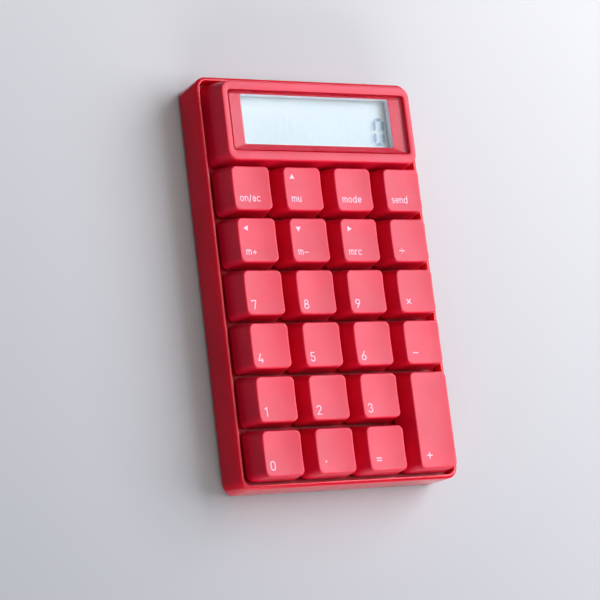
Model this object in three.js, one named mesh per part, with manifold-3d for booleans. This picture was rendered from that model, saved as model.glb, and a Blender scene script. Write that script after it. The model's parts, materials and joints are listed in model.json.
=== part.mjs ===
// A calculator that also works as a numeric keypad: a shallow tray-shaped case, full-size keys that
// stand proud of its rim, and a raised block at the far end that holds the display.
//
// Frame: millimetres, +X to the right of a person using it, +Y towards the display, +Z out of the
// keys. The origin is under the middle of the case, on the surface that its feet stand on.

import * as THREE from 'three';
import { mergeVertices } from 'three/addons/utils/BufferGeometryUtils.js';
import Module from 'manifold-3d';

const wasm = await Module();
wasm.setup();

// ---- driving dimensions -------------------------------------------------------------------------

const TOP_Z = 23.3; // corners of the key faces, and the top of the display block
const RIM_Z = 14.9; // rim of the case
const CASE_BOTTOM_Z = 1.0; // underside of the case, above the feet's soles

const CASE_LENGTH = 138.1;
const CASE_WIDTH = 81.3;
const CASE_CORNER = 4.0;
const CASE_WALL = 1.45;
const FLOOR_THICKNESS = 1.4;
const BOTTOM_CHAMFER = 0.6;

const KEY_PITCH_X = 19.0; // the spacing of a full-size keyboard
const KEY_PITCH_Y = 17.5;
const KEY_ROWS = 6;
const KEY_COLUMNS = 4;
const KEYS_CENTRE_Y = -15.33;
const KEY_FACE_X = 13.48;
const KEY_FACE_Y = 14.44;
const KEY_FACE_CORNER = 1.5;
const KEY_BASE_X = 18.2;
const KEY_BASE_CORNER = 1.2;
const KEY_FRONT_DRAFT = 0.4;
const KEY_BACK_DRAFT = 1.95;
const KEY_BASE_Z = 13.1;
const KEY_EDGE = 0.4; // size of the softened edge round a key's face
const KEY_WALL = 1.3;
const KEY_ROOF_Z = 20.9;
const DISH_RADIUS = 70.0;

const PLATE_Z = 9.2; // underside of the plate that guides the keys
const PLATE_THICKNESS = 1.4;
const STEM_HALF = 3.0;
const STEM_BOTTOM_Z = 8.1;
const STEM_OFFSET_Y = (KEY_BACK_DRAFT - KEY_FRONT_DRAFT) / 2; // a stem stands under its key's base
const STEM_CLEARANCE = 0.4;
const LUG_REACH = 0.9;
const LUG_HEIGHT = 0.8;
const LUG_HALF_WIDTH = 1.5;
const COLLAR_WALL = 1.0;
const COLLAR_TOP_Z = 15.2;

const PCB_Z = 2.7;
const PCB_THICKNESS = 1.4;
const PCB_HALF_X = 38.2;
const BOARD_HALF_Y = 66.5;
const GAP = 0.3; // between pieces that meet
const OVERLAP = 0.1; // how far one volume runs into another that it is joined to
const BEYOND = 1.0; // how far a cut runs past the face it opens
const FLUSH = 0.01; // the same, where a cut's walls slope

const BLOCK_FRONT_Y = 38.17;
const BLOCK_BACK_Y = 64.9;
const BLOCK_FACE_X = 70.8;
const BLOCK_BASE_X = 75.3;
const BLOCK_FRONT_DRAFT = 0.2;
const BLOCK_BACK_DRAFT = 2.3;
const BLOCK_BASE_Z = 10.9;
const BLOCK_CORNER = 3.2;
const BLOCK_WALL = 1.5;

const LENS_WIDTH = 66.3;
const LENS_HEIGHT = 20.3;
const LENS_CENTRE_Y = 51.6;
const LENS_THICKNESS = 1.2;
const LENS_CORNER = 0.8;
const LENS_SEAT_Z = 21.9; // narrow step that the lens rests on
const LENS_SEAT_WIDTH = 0.9;
const BEZEL_Z = 20.0; // flat frame round the panel, below the lens
const BEZEL_THICKNESS = 0.8;
const WINDOW_WIDTH = 56.2;
const WINDOW_HEIGHT = 17.2;
const WINDOW_CENTRE_Y = 52.5;
const WINDOW_CORNER = 0.6;

const LCD_TOP_Z = 19.0;
const LCD_THICKNESS = 2.2;
const LCD_WIDTH = 60.5;
const LCD_HEIGHT = 19.4;
const LCD_CENTRE_Y = 52.0;
const HOLDER_RAIL = 1.0;
const HOLDER_BASE = 1.2;

const SCREW_SHANK = 1.0;
const SCREW_HEAD = 2.0;
const SCREW_SEAT_Z = 2.5; // where the case screws' heads pull up against the case
const SCREW_TIP_Z = 8.2;
const CASE_BOSS_RADIUS = 3.5;
const CASE_BOSS_TOP_Z = 4.0;
const PLATE_BOSS_RADIUS = 2.5;
const CASE_SCREWS = [
  [-19, 19.67],
  [19, 19.67],
  [-19, -50.33],
  [19, -50.33],
  [-35.2, 45],
  [35.2, 45],
];
const BLOCK_SCREW_X = 33.4;
const BLOCK_SCREW_Y = 51.9;
const BLOCK_SCREW_SHANK = 0.8;
const BLOCK_SCREW_HEAD = 1.9;
const BLOCK_SCREW_HEAD_Z = 7.7;
const BLOCK_SCREW_TIP_Z = 13.8;
const BLOCK_BOSS_RADIUS = 2.3;
const BLOCK_BOSS_TOP_Z = 15.0;

const FOOT_RADIUS = 4.6;
const FOOT_X = 33.5;
const FOOT_Y = 62.0;
const FOOT_RECESS = 0.5;

const BAY_X = 18.0; // centre of the coin cell and its cover
const BAY_Y = 51.5;
const CELL_RADIUS = 10.0;
const CELL_HEIGHT = 3.2;
const CELL_Z = 2.9;
const COVER_FLANGE = 12.8;
const COVER_FLANGE_THICKNESS = 0.6;
const COVER_NECK = 11.5;
const COVER_TAB = 12.7;
const COVER_RING_INNER = 10.6; // inner side of the ring that carries the tabs
const COVER_TAB_ANGLE = THREE.MathUtils.degToRad(40);
const COVER_TURN = THREE.MathUtils.degToRad(60);

const SOCKET_HALF_X = 3.85;
const SOCKET_HEIGHT = 3.9;
const SOCKET_DEPTH = 9.0;
const SOCKET_WALL = 0.45;
const SOCKET_MOUTH_DEPTH = 6.0;
const SOCKET_FRONT_GAP = 0.2; // from the shell's mouth to the inside of the case's wall
const SOCKET_Z = 4.2;

const WIRE_RADIUS = 0.5;
const WIRE_X = 34.0; // pivot line of the tall key's levelling wire
const WIRE_Z = 12.8;
const WIRE_HALF_LENGTH = 9.8;
const WIRE_ARM = 6.1;
const WIRE_REST_ANGLE = THREE.MathUtils.degToRad(25);
const WIRE_CLIP_Y = 6.5; // from the tall key's stem to each clip
const HANGER_X = 30.1;

const CASE_HALF_X = CASE_WIDTH / 2;
const CASE_HALF_Y = CASE_LENGTH / 2;
const FLOOR_Z = CASE_BOTTOM_Z + FLOOR_THICKNESS;
const PLATE_TOP_Z = PLATE_Z + PLATE_THICKNESS;
const PCB_TOP_Z = PCB_Z + PCB_THICKNESS;

// ---- shapes -------------------------------------------------------------------------------------

// Corner points of a rounded rectangle, anticlockwise.
function outline(halfX, halfY, radius, steps = 2, centreY = 0) {
  const points = [];
  const corners = [[1, 1], [-1, 1], [-1, -1], [1, -1]];
  corners.forEach(([sideX, sideY], quarter) => {
    for (let step = 0; step <= steps; step += 1) {
      const angle = (quarter + step / steps) * Math.PI / 2;
      const x = sideX * (halfX - radius) + radius * Math.cos(angle);
      const y = sideY * (halfY - radius) + radius * Math.sin(angle);
      points.push(new THREE.Vector2(x, centreY + y));
    }
  });
  return points;
}

function atHeight(points, height) {
  return points.map((point) => new THREE.Vector3(point.x, point.y, height));
}

function solidFrom(geometry) {
  const bare = geometry.clone();
  bare.deleteAttribute('normal');
  bare.deleteAttribute('uv');
  const merged = mergeVertices(bare, 1e-5);
  return new wasm.Manifold(new wasm.Mesh({
    numProp: 3,
    vertProperties: Float32Array.from(merged.attributes.position.array),
    triVerts: Uint32Array.from(merged.index.array),
  }));
}

function geometryFrom(solid) {
  const mesh = solid.getMesh();
  const positions = new THREE.BufferAttribute(Float32Array.from(mesh.vertProperties), 3);
  const geometry = new THREE.BufferGeometry();
  geometry.setAttribute('position', positions);
  geometry.setIndex(Array.from(mesh.triVerts));
  geometry.computeVertexNormals();
  return geometry;
}

function middleOf(ring) {
  return ring.reduce((sum, p) => sum.add(p), new THREE.Vector3()).divideScalar(ring.length);
}

// A closed body through rings of equal point count, from the lowest to the highest. Each end is a
// fan about the ring's middle.
function loft(rings) {
  const count = rings[0].length;
  const points = rings.flat();
  const lowIndex = points.push(middleOf(rings[0])) - 1;
  const highIndex = points.push(middleOf(rings.at(-1))) - 1;
  const index = [];
  const lastRing = (rings.length - 1) * count;
  for (let i = 0; i < count; i += 1) {
    const next = (i + 1) % count;
    for (let ring = 0; ring < lastRing; ring += count) {
      index.push(ring + i, ring + next, ring + count + next);
      index.push(ring + i, ring + count + next, ring + count + i);
    }
    index.push(lowIndex, next, i);
    index.push(highIndex, lastRing + i, lastRing + next);
  }
  const positions = new THREE.Float32BufferAttribute(points.flatMap((p) => p.toArray()), 3);
  const geometry = new THREE.BufferGeometry();
  geometry.setAttribute('position', positions);
  geometry.setIndex(index);
  return solidFrom(geometry);
}

function slab(points, lowZ, highZ) {
  const shape = new THREE.Shape(points);
  const geometry = new THREE.ExtrudeGeometry(shape, { depth: highZ - lowZ, bevelEnabled: false });
  geometry.translate(0, 0, lowZ);
  return solidFrom(geometry);
}

function box([lowX, highX], [lowY, highY], [lowZ, highZ]) {
  const geometry = new THREE.BoxGeometry(highX - lowX, highY - lowY, highZ - lowZ);
  geometry.translate((lowX + highX) / 2, (lowY + highY) / 2, (lowZ + highZ) / 2);
  return solidFrom(geometry);
}

function rod(x, y, radius, lowZ, highZ, sides = 16) {
  return cone(x, y, radius, radius, lowZ, highZ, sides);
}

function cone(x, y, lowRadius, highRadius, lowZ, highZ, sides) {
  const geometry = new THREE.CylinderGeometry(highRadius, lowRadius, highZ - lowZ, sides);
  geometry.rotateX(Math.PI / 2);
  geometry.translate(x, y, (lowZ + highZ) / 2);
  return solidFrom(geometry);
}

// A slice of a ring about the battery bay's centre.
function baySector([innerRadius, outerRadius], middleAngle, spread, lowZ, highZ) {
  const start = middleAngle - spread / 2;
  const end = middleAngle + spread / 2;
  const shape = new THREE.Shape();
  shape.absarc(BAY_X, BAY_Y, outerRadius, start, end, false);
  shape.absarc(BAY_X, BAY_Y, innerRadius, end, start, true);
  const settings = { depth: highZ - lowZ, bevelEnabled: false, curveSegments: 4 };
  const geometry = new THREE.ExtrudeGeometry(shape, settings);
  geometry.translate(0, 0, lowZ);
  return solidFrom(geometry);
}

// Outline of a flat strip of even thickness that follows a line of points.
function stripOutline(line, thickness) {
  const left = [];
  const right = [];
  line.forEach((point, i) => {
    const before = line[Math.max(i - 1, 0)];
    const after = line[Math.min(i + 1, line.length - 1)];
    const along = new THREE.Vector2().subVectors(after, before).normalize();
    const across = new THREE.Vector2(-along.y, along.x).multiplyScalar(thickness / 2);
    left.push(point.clone().add(across));
    right.unshift(point.clone().sub(across));
  });
  return [...right, ...left];
}

// A strip that is bent in the XZ plane and as wide in Y as stated.
function stripAlongX(line, thickness, [lowY, highY]) {
  const points = stripOutline(line.map(([x, z]) => new THREE.Vector2(x, z)), thickness);
  const shape = new THREE.Shape(points);
  const geometry = new THREE.ExtrudeGeometry(shape, { depth: highY - lowY, bevelEnabled: false });
  geometry.rotateX(Math.PI / 2);
  geometry.translate(0, highY, 0);
  return solidFrom(geometry);
}

// A strip that is bent in the YZ plane and as wide in X as stated.
function stripAlongY(line, thickness, [lowX, highX]) {
  const points = stripOutline(line.map(([y, z]) => new THREE.Vector2(y, z)), thickness);
  const shape = new THREE.Shape(points);
  const geometry = new THREE.ExtrudeGeometry(shape, { depth: highX - lowX, bevelEnabled: false });
  geometry.rotateX(Math.PI / 2);
  geometry.rotateZ(Math.PI / 2);
  geometry.translate(lowX, 0, 0);
  return solidFrom(geometry);
}

// Points of a quarter bend between two directions, for a strip's line.
function bend(centreA, centreB, radius, startDegrees, endDegrees, steps = 4) {
  const points = [];
  for (let step = 0; step <= steps; step += 1) {
    const degrees = startDegrees + (endDegrees - startDegrees) * step / steps;
    const angle = THREE.MathUtils.degToRad(degrees);
    points.push([centreA + radius * Math.cos(angle), centreB + radius * Math.sin(angle)]);
  }
  return points;
}

// ---- materials ----------------------------------------------------------------------------------

const finishes = {
  caseRed: { color: 0xa80a24, roughness: 0.18, metalness: 0 },
  keyRed: { color: 0xd2102c, roughness: 0.38, metalness: 0 },
  clear: { color: 0xf6dfe2, roughness: 0.05, metalness: 0, transparent: true, opacity: 0.3 },
  lcd: { color: 0xdbe4ea, roughness: 0.25, metalness: 0 },
  black: { color: 0x1c1c1e, roughness: 0.55, metalness: 0 },
  flex: { color: 0xb9823c, roughness: 0.5, metalness: 0 },
  board: { color: 0x1d5a36, roughness: 0.5, metalness: 0 },
  rubber: { color: 0xbfc1c0, roughness: 0.8, metalness: 0 },
  foot: { color: 0x2a2a2c, roughness: 0.85, metalness: 0 },
  steel: { color: 0xc9c9cc, roughness: 0.3, metalness: 1 },
  brass: { color: 0xcaa85a, roughness: 0.35, metalness: 1 },
};

const calculator = new THREE.Group();

function add(name, solid, finish) {
  const mesh = new THREE.Mesh(geometryFrom(solid), new THREE.MeshStandardMaterial(finishes[finish]));
  mesh.name = name;
  calculator.add(mesh);
  return mesh;
}

// ---- keys ---------------------------------------------------------------------------------------

const KEY_NAMES = [
  ['on', 'mu', 'mode', 'send'],
  ['memory_add', 'memory_subtract', 'memory_recall', 'divide'],
  ['7', '8', '9', 'multiply'],
  ['4', '5', '6', 'subtract'],
  ['1', '2', '3', 'add'],
  ['0', 'point', 'equals', null], // the add key fills the last place in two rows
];

// Where each key's face is centred, and how many rows it spans.
const keys = [];
KEY_NAMES.forEach((row, rowNumber) => {
  row.forEach((name, column) => {
    if (name === null) {
      return;
    }
    const rowsTall = name === 'add' ? 2 : 1;
    const x = (column - (KEY_COLUMNS - 1) / 2) * KEY_PITCH_X;
    const rowsUp = (KEY_ROWS - 1) / 2 - rowNumber - (rowsTall - 1) / 2;
    keys.push({ name, x, y: KEYS_CENTRE_Y + rowsUp * KEY_PITCH_Y, rowsTall });
  });
});

// Height of a key's face: a shallow bowl on a square key, and a trough along a tall one.
function faceHeight(x, y, halfX, halfY, isTall) {
  const across = isTall ? x * x - halfX * halfX : x * x + y * y - halfX * halfX - halfY * halfY;
  return TOP_Z + across / (2 * DISH_RADIUS);
}

function keycap(rowsTall) {
  const isTall = rowsTall > 1;
  const faceHalfX = KEY_FACE_X / 2;
  const faceHalfY = (KEY_FACE_Y + (rowsTall - 1) * KEY_PITCH_Y) / 2;
  const baseHalfX = KEY_BASE_X / 2;
  const baseHalfY = faceHalfY + (KEY_FRONT_DRAFT + KEY_BACK_DRAFT) / 2;
  const face = outline(faceHalfX, faceHalfY, KEY_FACE_CORNER);
  const shoulder = outline(faceHalfX + KEY_EDGE / 2, faceHalfY + KEY_EDGE / 2, KEY_FACE_CORNER);
  const base = outline(baseHalfX, baseHalfY, KEY_BASE_CORNER, 2, STEM_OFFSET_Y);
  const dished = (scale) => face.map(({ x, y }) => new THREE.Vector3(
    x * scale,
    y * scale,
    faceHeight(x * scale, y * scale, faceHalfX, faceHalfY, isTall),
  ));
  const shoulderRing = shoulder.map(({ x, y }) => new THREE.Vector3(
    x,
    y,
    Math.min(faceHeight(x, y, faceHalfX, faceHalfY, isTall), TOP_Z) - KEY_EDGE,
  ));
  const outside = loft([atHeight(base, KEY_BASE_Z), shoulderRing, dished(1), dished(0.5)]);

  const hollowBase = outline(
    baseHalfX - KEY_WALL,
    baseHalfY - KEY_WALL,
    KEY_BASE_CORNER / 2,
    1,
    STEM_OFFSET_Y,
  );
  const hollowTop = outline(
    faceHalfX + KEY_EDGE - KEY_WALL,
    faceHalfY + KEY_EDGE - KEY_WALL,
    KEY_BASE_CORNER / 2,
    1,
  );
  const hollow = loft([atHeight(hollowBase, KEY_BASE_Z - FLUSH), atHeight(hollowTop, KEY_ROOF_Z)]);

  const stemY = [STEM_OFFSET_Y - STEM_HALF, STEM_OFFSET_Y + STEM_HALF];
  const lugY = [STEM_OFFSET_Y - LUG_HALF_WIDTH, STEM_OFFSET_Y + LUG_HALF_WIDTH];
  const lugReach = STEM_HALF + LUG_REACH;
  const stem = box([-STEM_HALF, STEM_HALF], stemY, [STEM_BOTTOM_Z, KEY_ROOF_Z + KEY_WALL / 2]);
  const lugs = box([-lugReach, lugReach], lugY, [STEM_BOTTOM_Z, STEM_BOTTOM_Z + LUG_HEIGHT]);
  return outside.subtract(hollow).add(stem).add(lugs);
}

// Two slotted hangers under the tall key's roof, which the arms of the levelling wire run through.
function withHangers(cap, key) {
  const halfThickness = 0.6;
  const halfWidth = 1.2;
  const slotHalfWidth = 0.9;
  const slotHalfHeight = 1.05;
  const bottomZ = KEY_BASE_Z - 0.2;
  const x = HANGER_X - key.x;
  const armZ = WIRE_Z + (WIRE_X - HANGER_X) * Math.tan(WIRE_REST_ANGLE);
  let result = cap;
  for (const side of [-1, 1]) {
    const y = STEM_OFFSET_Y + side * WIRE_HALF_LENGTH;
    const hanger = box(
      [x - halfThickness, x + halfThickness],
      [y - halfWidth, y + halfWidth],
      [bottomZ, KEY_ROOF_Z + KEY_WALL / 2],
    );
    const slot = box(
      [x - 2 * halfThickness, x + 2 * halfThickness],
      [y - slotHalfWidth, y + slotHalfWidth],
      [armZ - slotHalfHeight, armZ + slotHalfHeight],
    );
    result = result.add(hanger.subtract(slot));
  }
  return result;
}

for (const key of keys) {
  const cap = keycap(key.rowsTall);
  const solid = key.rowsTall > 1 ? withHangers(cap, key) : cap;
  add(`key_${key.name}`, solid, 'keyRed').position.set(key.x, key.y, 0);
}

const tallKey = keys.find((key) => key.rowsTall > 1);
const tallStemY = tallKey.y + STEM_OFFSET_Y;

// A bar that turns in two clips, with an arm at each end that reaches into the key's hangers.
function levellingWire() {
  const length = 2 * WIRE_HALF_LENGTH + 2 * WIRE_RADIUS;
  const armRadius = WIRE_RADIUS * 0.98;
  const bar = new THREE.CylinderGeometry(WIRE_RADIUS, WIRE_RADIUS, length, 8);
  bar.translate(WIRE_X, tallStemY, WIRE_Z);
  let wire = solidFrom(bar);
  for (const side of [-1, 1]) {
    const arm = new THREE.CylinderGeometry(armRadius, armRadius, WIRE_ARM, 8);
    arm.translate(0, WIRE_ARM / 2, 0);
    arm.rotateZ(Math.PI / 2);
    arm.rotateY(WIRE_REST_ANGLE);
    arm.translate(WIRE_X, tallStemY + side * WIRE_HALF_LENGTH, WIRE_Z);
    wire = wire.add(solidFrom(arm));
  }
  return wire;
}

add('add_key_wire', levellingWire(), 'steel');

// ---- case ---------------------------------------------------------------------------------------

const footPlaces = [[-FOOT_X, -FOOT_Y], [FOOT_X, -FOOT_Y], [-FOOT_X, FOOT_Y], [FOOT_X, FOOT_Y]];

function rearCase() {
  const chamfered = outline(
    CASE_HALF_X - BOTTOM_CHAMFER,
    CASE_HALF_Y - BOTTOM_CHAMFER,
    CASE_CORNER - BOTTOM_CHAMFER,
    4,
  );
  const full = outline(CASE_HALF_X, CASE_HALF_Y, CASE_CORNER, 4);
  const inside = outline(
    CASE_HALF_X - CASE_WALL,
    CASE_HALF_Y - CASE_WALL,
    CASE_CORNER - CASE_WALL,
    4,
  );
  const outside = loft([
    atHeight(chamfered, CASE_BOTTOM_Z),
    atHeight(full, CASE_BOTTOM_Z + BOTTOM_CHAMFER),
    atHeight(full, RIM_Z),
  ]);
  let solid = outside.subtract(slab(inside, FLOOR_Z, RIM_Z + BEYOND));
  for (const [x, y] of CASE_SCREWS) {
    solid = solid.add(rod(x, y, CASE_BOSS_RADIUS, FLOOR_Z - OVERLAP, CASE_BOSS_TOP_Z, 12));
    solid = solid.subtract(rod(x, y, SCREW_HEAD + 0.6, 0, SCREW_SEAT_Z, 12));
    solid = solid.subtract(rod(x, y, SCREW_SHANK + GAP, 0, CASE_BOSS_TOP_Z + BEYOND, 12));
  }
  const ribHalfWidth = 0.6;
  for (const x of [-10, 10]) {
    const ribX = [x - ribHalfWidth, x + ribHalfWidth];
    solid = solid.add(box(ribX, [-62, 30], [FLOOR_Z - OVERLAP, PCB_Z - OVERLAP]));
  }
  for (const [x, y] of footPlaces) {
    solid = solid.subtract(rod(x, y, FOOT_RADIUS + GAP, 0, CASE_BOTTOM_Z + FOOT_RECESS));
  }
  const socketMargin = 0.5;
  solid = solid.subtract(box(
    [-SOCKET_HALF_X - socketMargin, SOCKET_HALF_X + socketMargin],
    [CASE_HALF_Y - 2 * CASE_WALL, CASE_HALF_Y + BEYOND],
    [SOCKET_Z - GAP, SOCKET_Z + SOCKET_HEIGHT + socketMargin],
  ));
  return solid.subtract(batteryOpening());
}

// The round opening that the battery cover turns in, with two notches that its tabs pass through
// once it has been turned.
function batteryOpening() {
  const counterboreZ = CASE_BOTTOM_Z + COVER_FLANGE_THICKNESS + 0.15;
  const counterbore = rod(BAY_X, BAY_Y, COVER_FLANGE + GAP, 0, counterboreZ, 32);
  const hole = rod(BAY_X, BAY_Y, COVER_NECK + GAP, 0, FLOOR_Z + BEYOND, 32);
  const spread = COVER_TAB_ANGLE + THREE.MathUtils.degToRad(8);
  const radii = [COVER_NECK - BEYOND, COVER_TAB + GAP];
  let opening = counterbore.add(hole);
  for (const half of [0, Math.PI]) {
    const angle = half - COVER_TURN;
    opening = opening.add(baySector(radii, angle, spread, CASE_BOTTOM_Z, FLOOR_Z + BEYOND));
  }
  return opening;
}

add('rear_case', rearCase(), 'caseRed');

const FOOT_TOP_Z = CASE_BOTTOM_Z + FOOT_RECESS - 0.1;
footPlaces.forEach(([x, y], i) => {
  add(`foot_${i + 1}`, rod(x, y, FOOT_RADIUS, 0, FOOT_TOP_Z), 'foot');
});

// A cross-head screw that points up from its head.
function screw(x, y, headRadius, shankRadius, [headZ, seatZ, tipZ]) {
  const reach = headRadius * 0.6;
  const halfBlade = 0.25;
  const depth = [headZ - BEYOND, headZ + 0.5];
  const head = rod(x, y, headRadius, headZ, seatZ, 12);
  const shank = rod(x, y, shankRadius, seatZ - OVERLAP, tipZ, 8);
  const wide = box([x - reach, x + reach], [y - halfBlade, y + halfBlade], depth);
  const tall = box([x - halfBlade, x + halfBlade], [y - reach, y + reach], depth);
  return head.add(shank).subtract(wide).subtract(tall);
}

CASE_SCREWS.forEach(([x, y], i) => {
  const heights = [CASE_BOTTOM_Z + 0.3, SCREW_SEAT_Z - 0.1, SCREW_TIP_Z];
  add(`case_screw_${i + 1}`, screw(x, y, SCREW_HEAD, SCREW_SHANK, heights), 'steel');
});

// ---- key plate ----------------------------------------------------------------------------------

const FLEX_X = [-29, -7];
const FLEX_Y = 40.4;

// A length in X or Y, with the same margin at both ends.
function widened([low, high], margin) {
  return [low - margin, high + margin];
}

function keyPlate() {
  const clear = CASE_WALL + GAP;
  let solid = slab(
    outline(CASE_HALF_X - clear, CASE_HALF_Y - clear, CASE_CORNER - clear, 2),
    PLATE_Z,
    PLATE_TOP_Z,
  );
  const hole = STEM_HALF + STEM_CLEARANCE;
  const collar = hole + COLLAR_WALL;
  for (const key of keys) {
    const x = [key.x, key.x];
    const y = [key.y + STEM_OFFSET_Y, key.y + STEM_OFFSET_Y];
    const wall = box(widened(x, collar), widened(y, collar), [PLATE_Z, COLLAR_TOP_Z]);
    const shaft = box(widened(x, hole), widened(y, hole), [0, COLLAR_TOP_Z + BEYOND]);
    solid = solid.add(wall).subtract(shaft);
  }
  for (const [x, y] of CASE_SCREWS) {
    const boss = rod(x, y, PLATE_BOSS_RADIUS, CASE_BOSS_TOP_Z + GAP, PLATE_Z + OVERLAP, 12);
    const thread = rod(x, y, SCREW_SHANK + 0.2, 0, PLATE_Z - 0.4, 8);
    solid = solid.add(boss).subtract(thread);
  }
  for (const x of [-BLOCK_SCREW_X, BLOCK_SCREW_X]) {
    solid = solid.subtract(rod(x, BLOCK_SCREW_Y, BLOCK_SCREW_SHANK + 0.4, 0, PLATE_TOP_Z + BEYOND, 8));
  }
  const clipHalfX = 1.1;
  const clipHalfY = 0.8;
  const boreRadius = WIRE_RADIUS + 0.2;
  for (const side of [-1, 1]) {
    const y = tallStemY + side * WIRE_CLIP_Y;
    const clip = box(
      [WIRE_X - clipHalfX, WIRE_X + clipHalfX],
      [y - clipHalfY, y + clipHalfY],
      [PLATE_Z, WIRE_Z + clipHalfX],
    );
    const bore = new THREE.CylinderGeometry(boreRadius, boreRadius, 4 * clipHalfY, 8);
    bore.translate(WIRE_X, y, WIRE_Z);
    solid = solid.add(clip.subtract(solidFrom(bore)));
  }
  const flexSlot = box(
    widened(FLEX_X, 0.5),
    widened([FLEX_Y, FLEX_Y], 0.7),
    [0, PLATE_TOP_Z + BEYOND],
  );
  return solid.subtract(flexSlot);
}

add('key_plate', keyPlate(), 'caseRed');

// ---- electronics under the keys ------------------------------------------------------------------

const BOARD_NOTCH_X = 4.8; // the board stops short of the battery bay
const BOARD_NOTCH_Y = 38.3;
const SHEET_Z = PCB_TOP_Z + 0.2;
const SHEET_THICKNESS = 0.6;
const SHEET_HALF_X = 37.6;
const SHEET_Y = [-66.4, 36.5];
const DOME_TOP_Z = STEM_BOTTOM_Z - GAP;
const DOME_RADII = [3.4, 1.8]; // at its foot and at its top
const DOME_HOLLOW_RADII = [3.0, 1.1];
const DOME_ROOF = 0.8;

function mainBoard() {
  const corners = [
    [-PCB_HALF_X, -BOARD_HALF_Y],
    [PCB_HALF_X, -BOARD_HALF_Y],
    [PCB_HALF_X, BOARD_NOTCH_Y],
    [BOARD_NOTCH_X, BOARD_NOTCH_Y],
    [BOARD_NOTCH_X, BOARD_HALF_Y],
    [-PCB_HALF_X, BOARD_HALF_Y],
  ];
  let solid = slab(corners.map(([x, y]) => new THREE.Vector2(x, y)), PCB_Z, PCB_TOP_Z);
  for (const [x, y] of CASE_SCREWS) {
    solid = solid.subtract(rod(x, y, CASE_BOSS_RADIUS + 0.4, 0, PCB_TOP_Z + BEYOND, 12));
  }
  return solid;
}

add('main_board', mainBoard(), 'board');

// One rubber sheet with a hollow dome under every key.
function domeSheet() {
  const sheetTop = SHEET_Z + SHEET_THICKNESS;
  let solid = box([-SHEET_HALF_X, SHEET_HALF_X], SHEET_Y, [SHEET_Z, sheetTop]);
  for (const [x, y] of CASE_SCREWS) {
    solid = solid.subtract(rod(x, y, PLATE_BOSS_RADIUS + 0.5, 0, sheetTop + BEYOND, 12));
  }
  for (const key of keys) {
    const y = key.y + STEM_OFFSET_Y;
    const dome = cone(key.x, y, ...DOME_RADII, SHEET_Z + OVERLAP, DOME_TOP_Z, 8);
    const hollow = cone(key.x, y, ...DOME_HOLLOW_RADII, SHEET_Z - OVERLAP, DOME_TOP_Z - DOME_ROOF, 8);
    solid = solid.add(dome).subtract(hollow);
  }
  return solid;
}

add('dome_sheet', domeSheet(), 'rubber');

// A soldered component: a low block that tapers a little towards its top.
function boardPart(centreX, centreY, sizeX, sizeY, height) {
  const lowZ = PCB_TOP_Z + 0.1;
  const taper = 0.2;
  const corner = 0.5;
  const rings = [
    atHeight(outline(sizeX / 2, sizeY / 2, corner, 1), lowZ),
    atHeight(outline(sizeX / 2 - taper, sizeY / 2 - taper, corner, 1), lowZ + height),
  ];
  return loft(rings).translate([centreX, centreY, 0]);
}

add('controller_chip', boardPart(-16, 54, 9, 9, 1.3), 'black');
add('crystal', boardPart(-28, 61, 10.5, 3.8, 3.4), 'steel');

// The inlet's shell, open at the display end, with a tongue in the middle of its mouth.
function usbSocket() {
  const front = CASE_HALF_Y - CASE_WALL - SOCKET_FRONT_GAP;
  const shellX = [-SOCKET_HALF_X, SOCKET_HALF_X];
  const shellZ = [SOCKET_Z, SOCKET_Z + SOCKET_HEIGHT];
  const mouthBack = front - SOCKET_MOUTH_DEPTH;
  const middleZ = SOCKET_Z + SOCKET_HEIGHT / 2;
  const shell = box(shellX, [front - SOCKET_DEPTH, front], shellZ);
  const mouth = box(
    widened(shellX, -SOCKET_WALL),
    [mouthBack, front + BEYOND],
    widened(shellZ, -SOCKET_WALL),
  );
  const tongue = box(
    widened(shellX, -1.2),
    [mouthBack - OVERLAP, front - 1],
    widened([middleZ, middleZ], 0.35),
  );
  return shell.subtract(mouth).add(tongue);
}

add('usb_socket', usbSocket(), 'steel');

// ---- coin cell, its holder, contacts and cover ----------------------------------------------------

const HOLDER_WALL_INNER = CELL_RADIUS + 0.5;
const HOLDER_WALL_OUTER = CELL_RADIUS + 1.6;
const HOLDER_Z = 3.8;
const HOLDER_ROOF_Z = 6.9;
const HOLDER_TOP_Z = 7.6;
const NEGATIVE_Y = [BAY_Y - 1.3, BAY_Y + 1.3];
const POSITIVE_Y = [BAY_Y - 6.2, BAY_Y - 4.8];

function batteryHolder() {
  const cup = rod(BAY_X, BAY_Y, HOLDER_WALL_OUTER, HOLDER_Z, HOLDER_TOP_Z, 24);
  const hollow = rod(BAY_X, BAY_Y, HOLDER_WALL_INNER, HOLDER_Z - BEYOND, HOLDER_ROOF_Z, 24);
  let solid = cup.subtract(hollow);
  for (const contactY of [NEGATIVE_Y, POSITIVE_Y]) {
    const wayIn = box([BOARD_NOTCH_X, 9.2], widened(contactY, 0.5), [HOLDER_Z - BEYOND, HOLDER_ROOF_Z]);
    solid = solid.subtract(wayIn);
  }
  return solid;
}

add('battery_holder', batteryHolder(), 'black');
add('coin_cell', rod(BAY_X, BAY_Y, CELL_RADIUS, CELL_Z, CELL_Z + CELL_HEIGHT, 24), 'steel');

const CONTACT_THICKNESS = 0.25;
const CONTACT_FOOT_Z = PCB_TOP_Z + 0.3;
const CONTACT_FOOT_X = 1.5;

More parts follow.
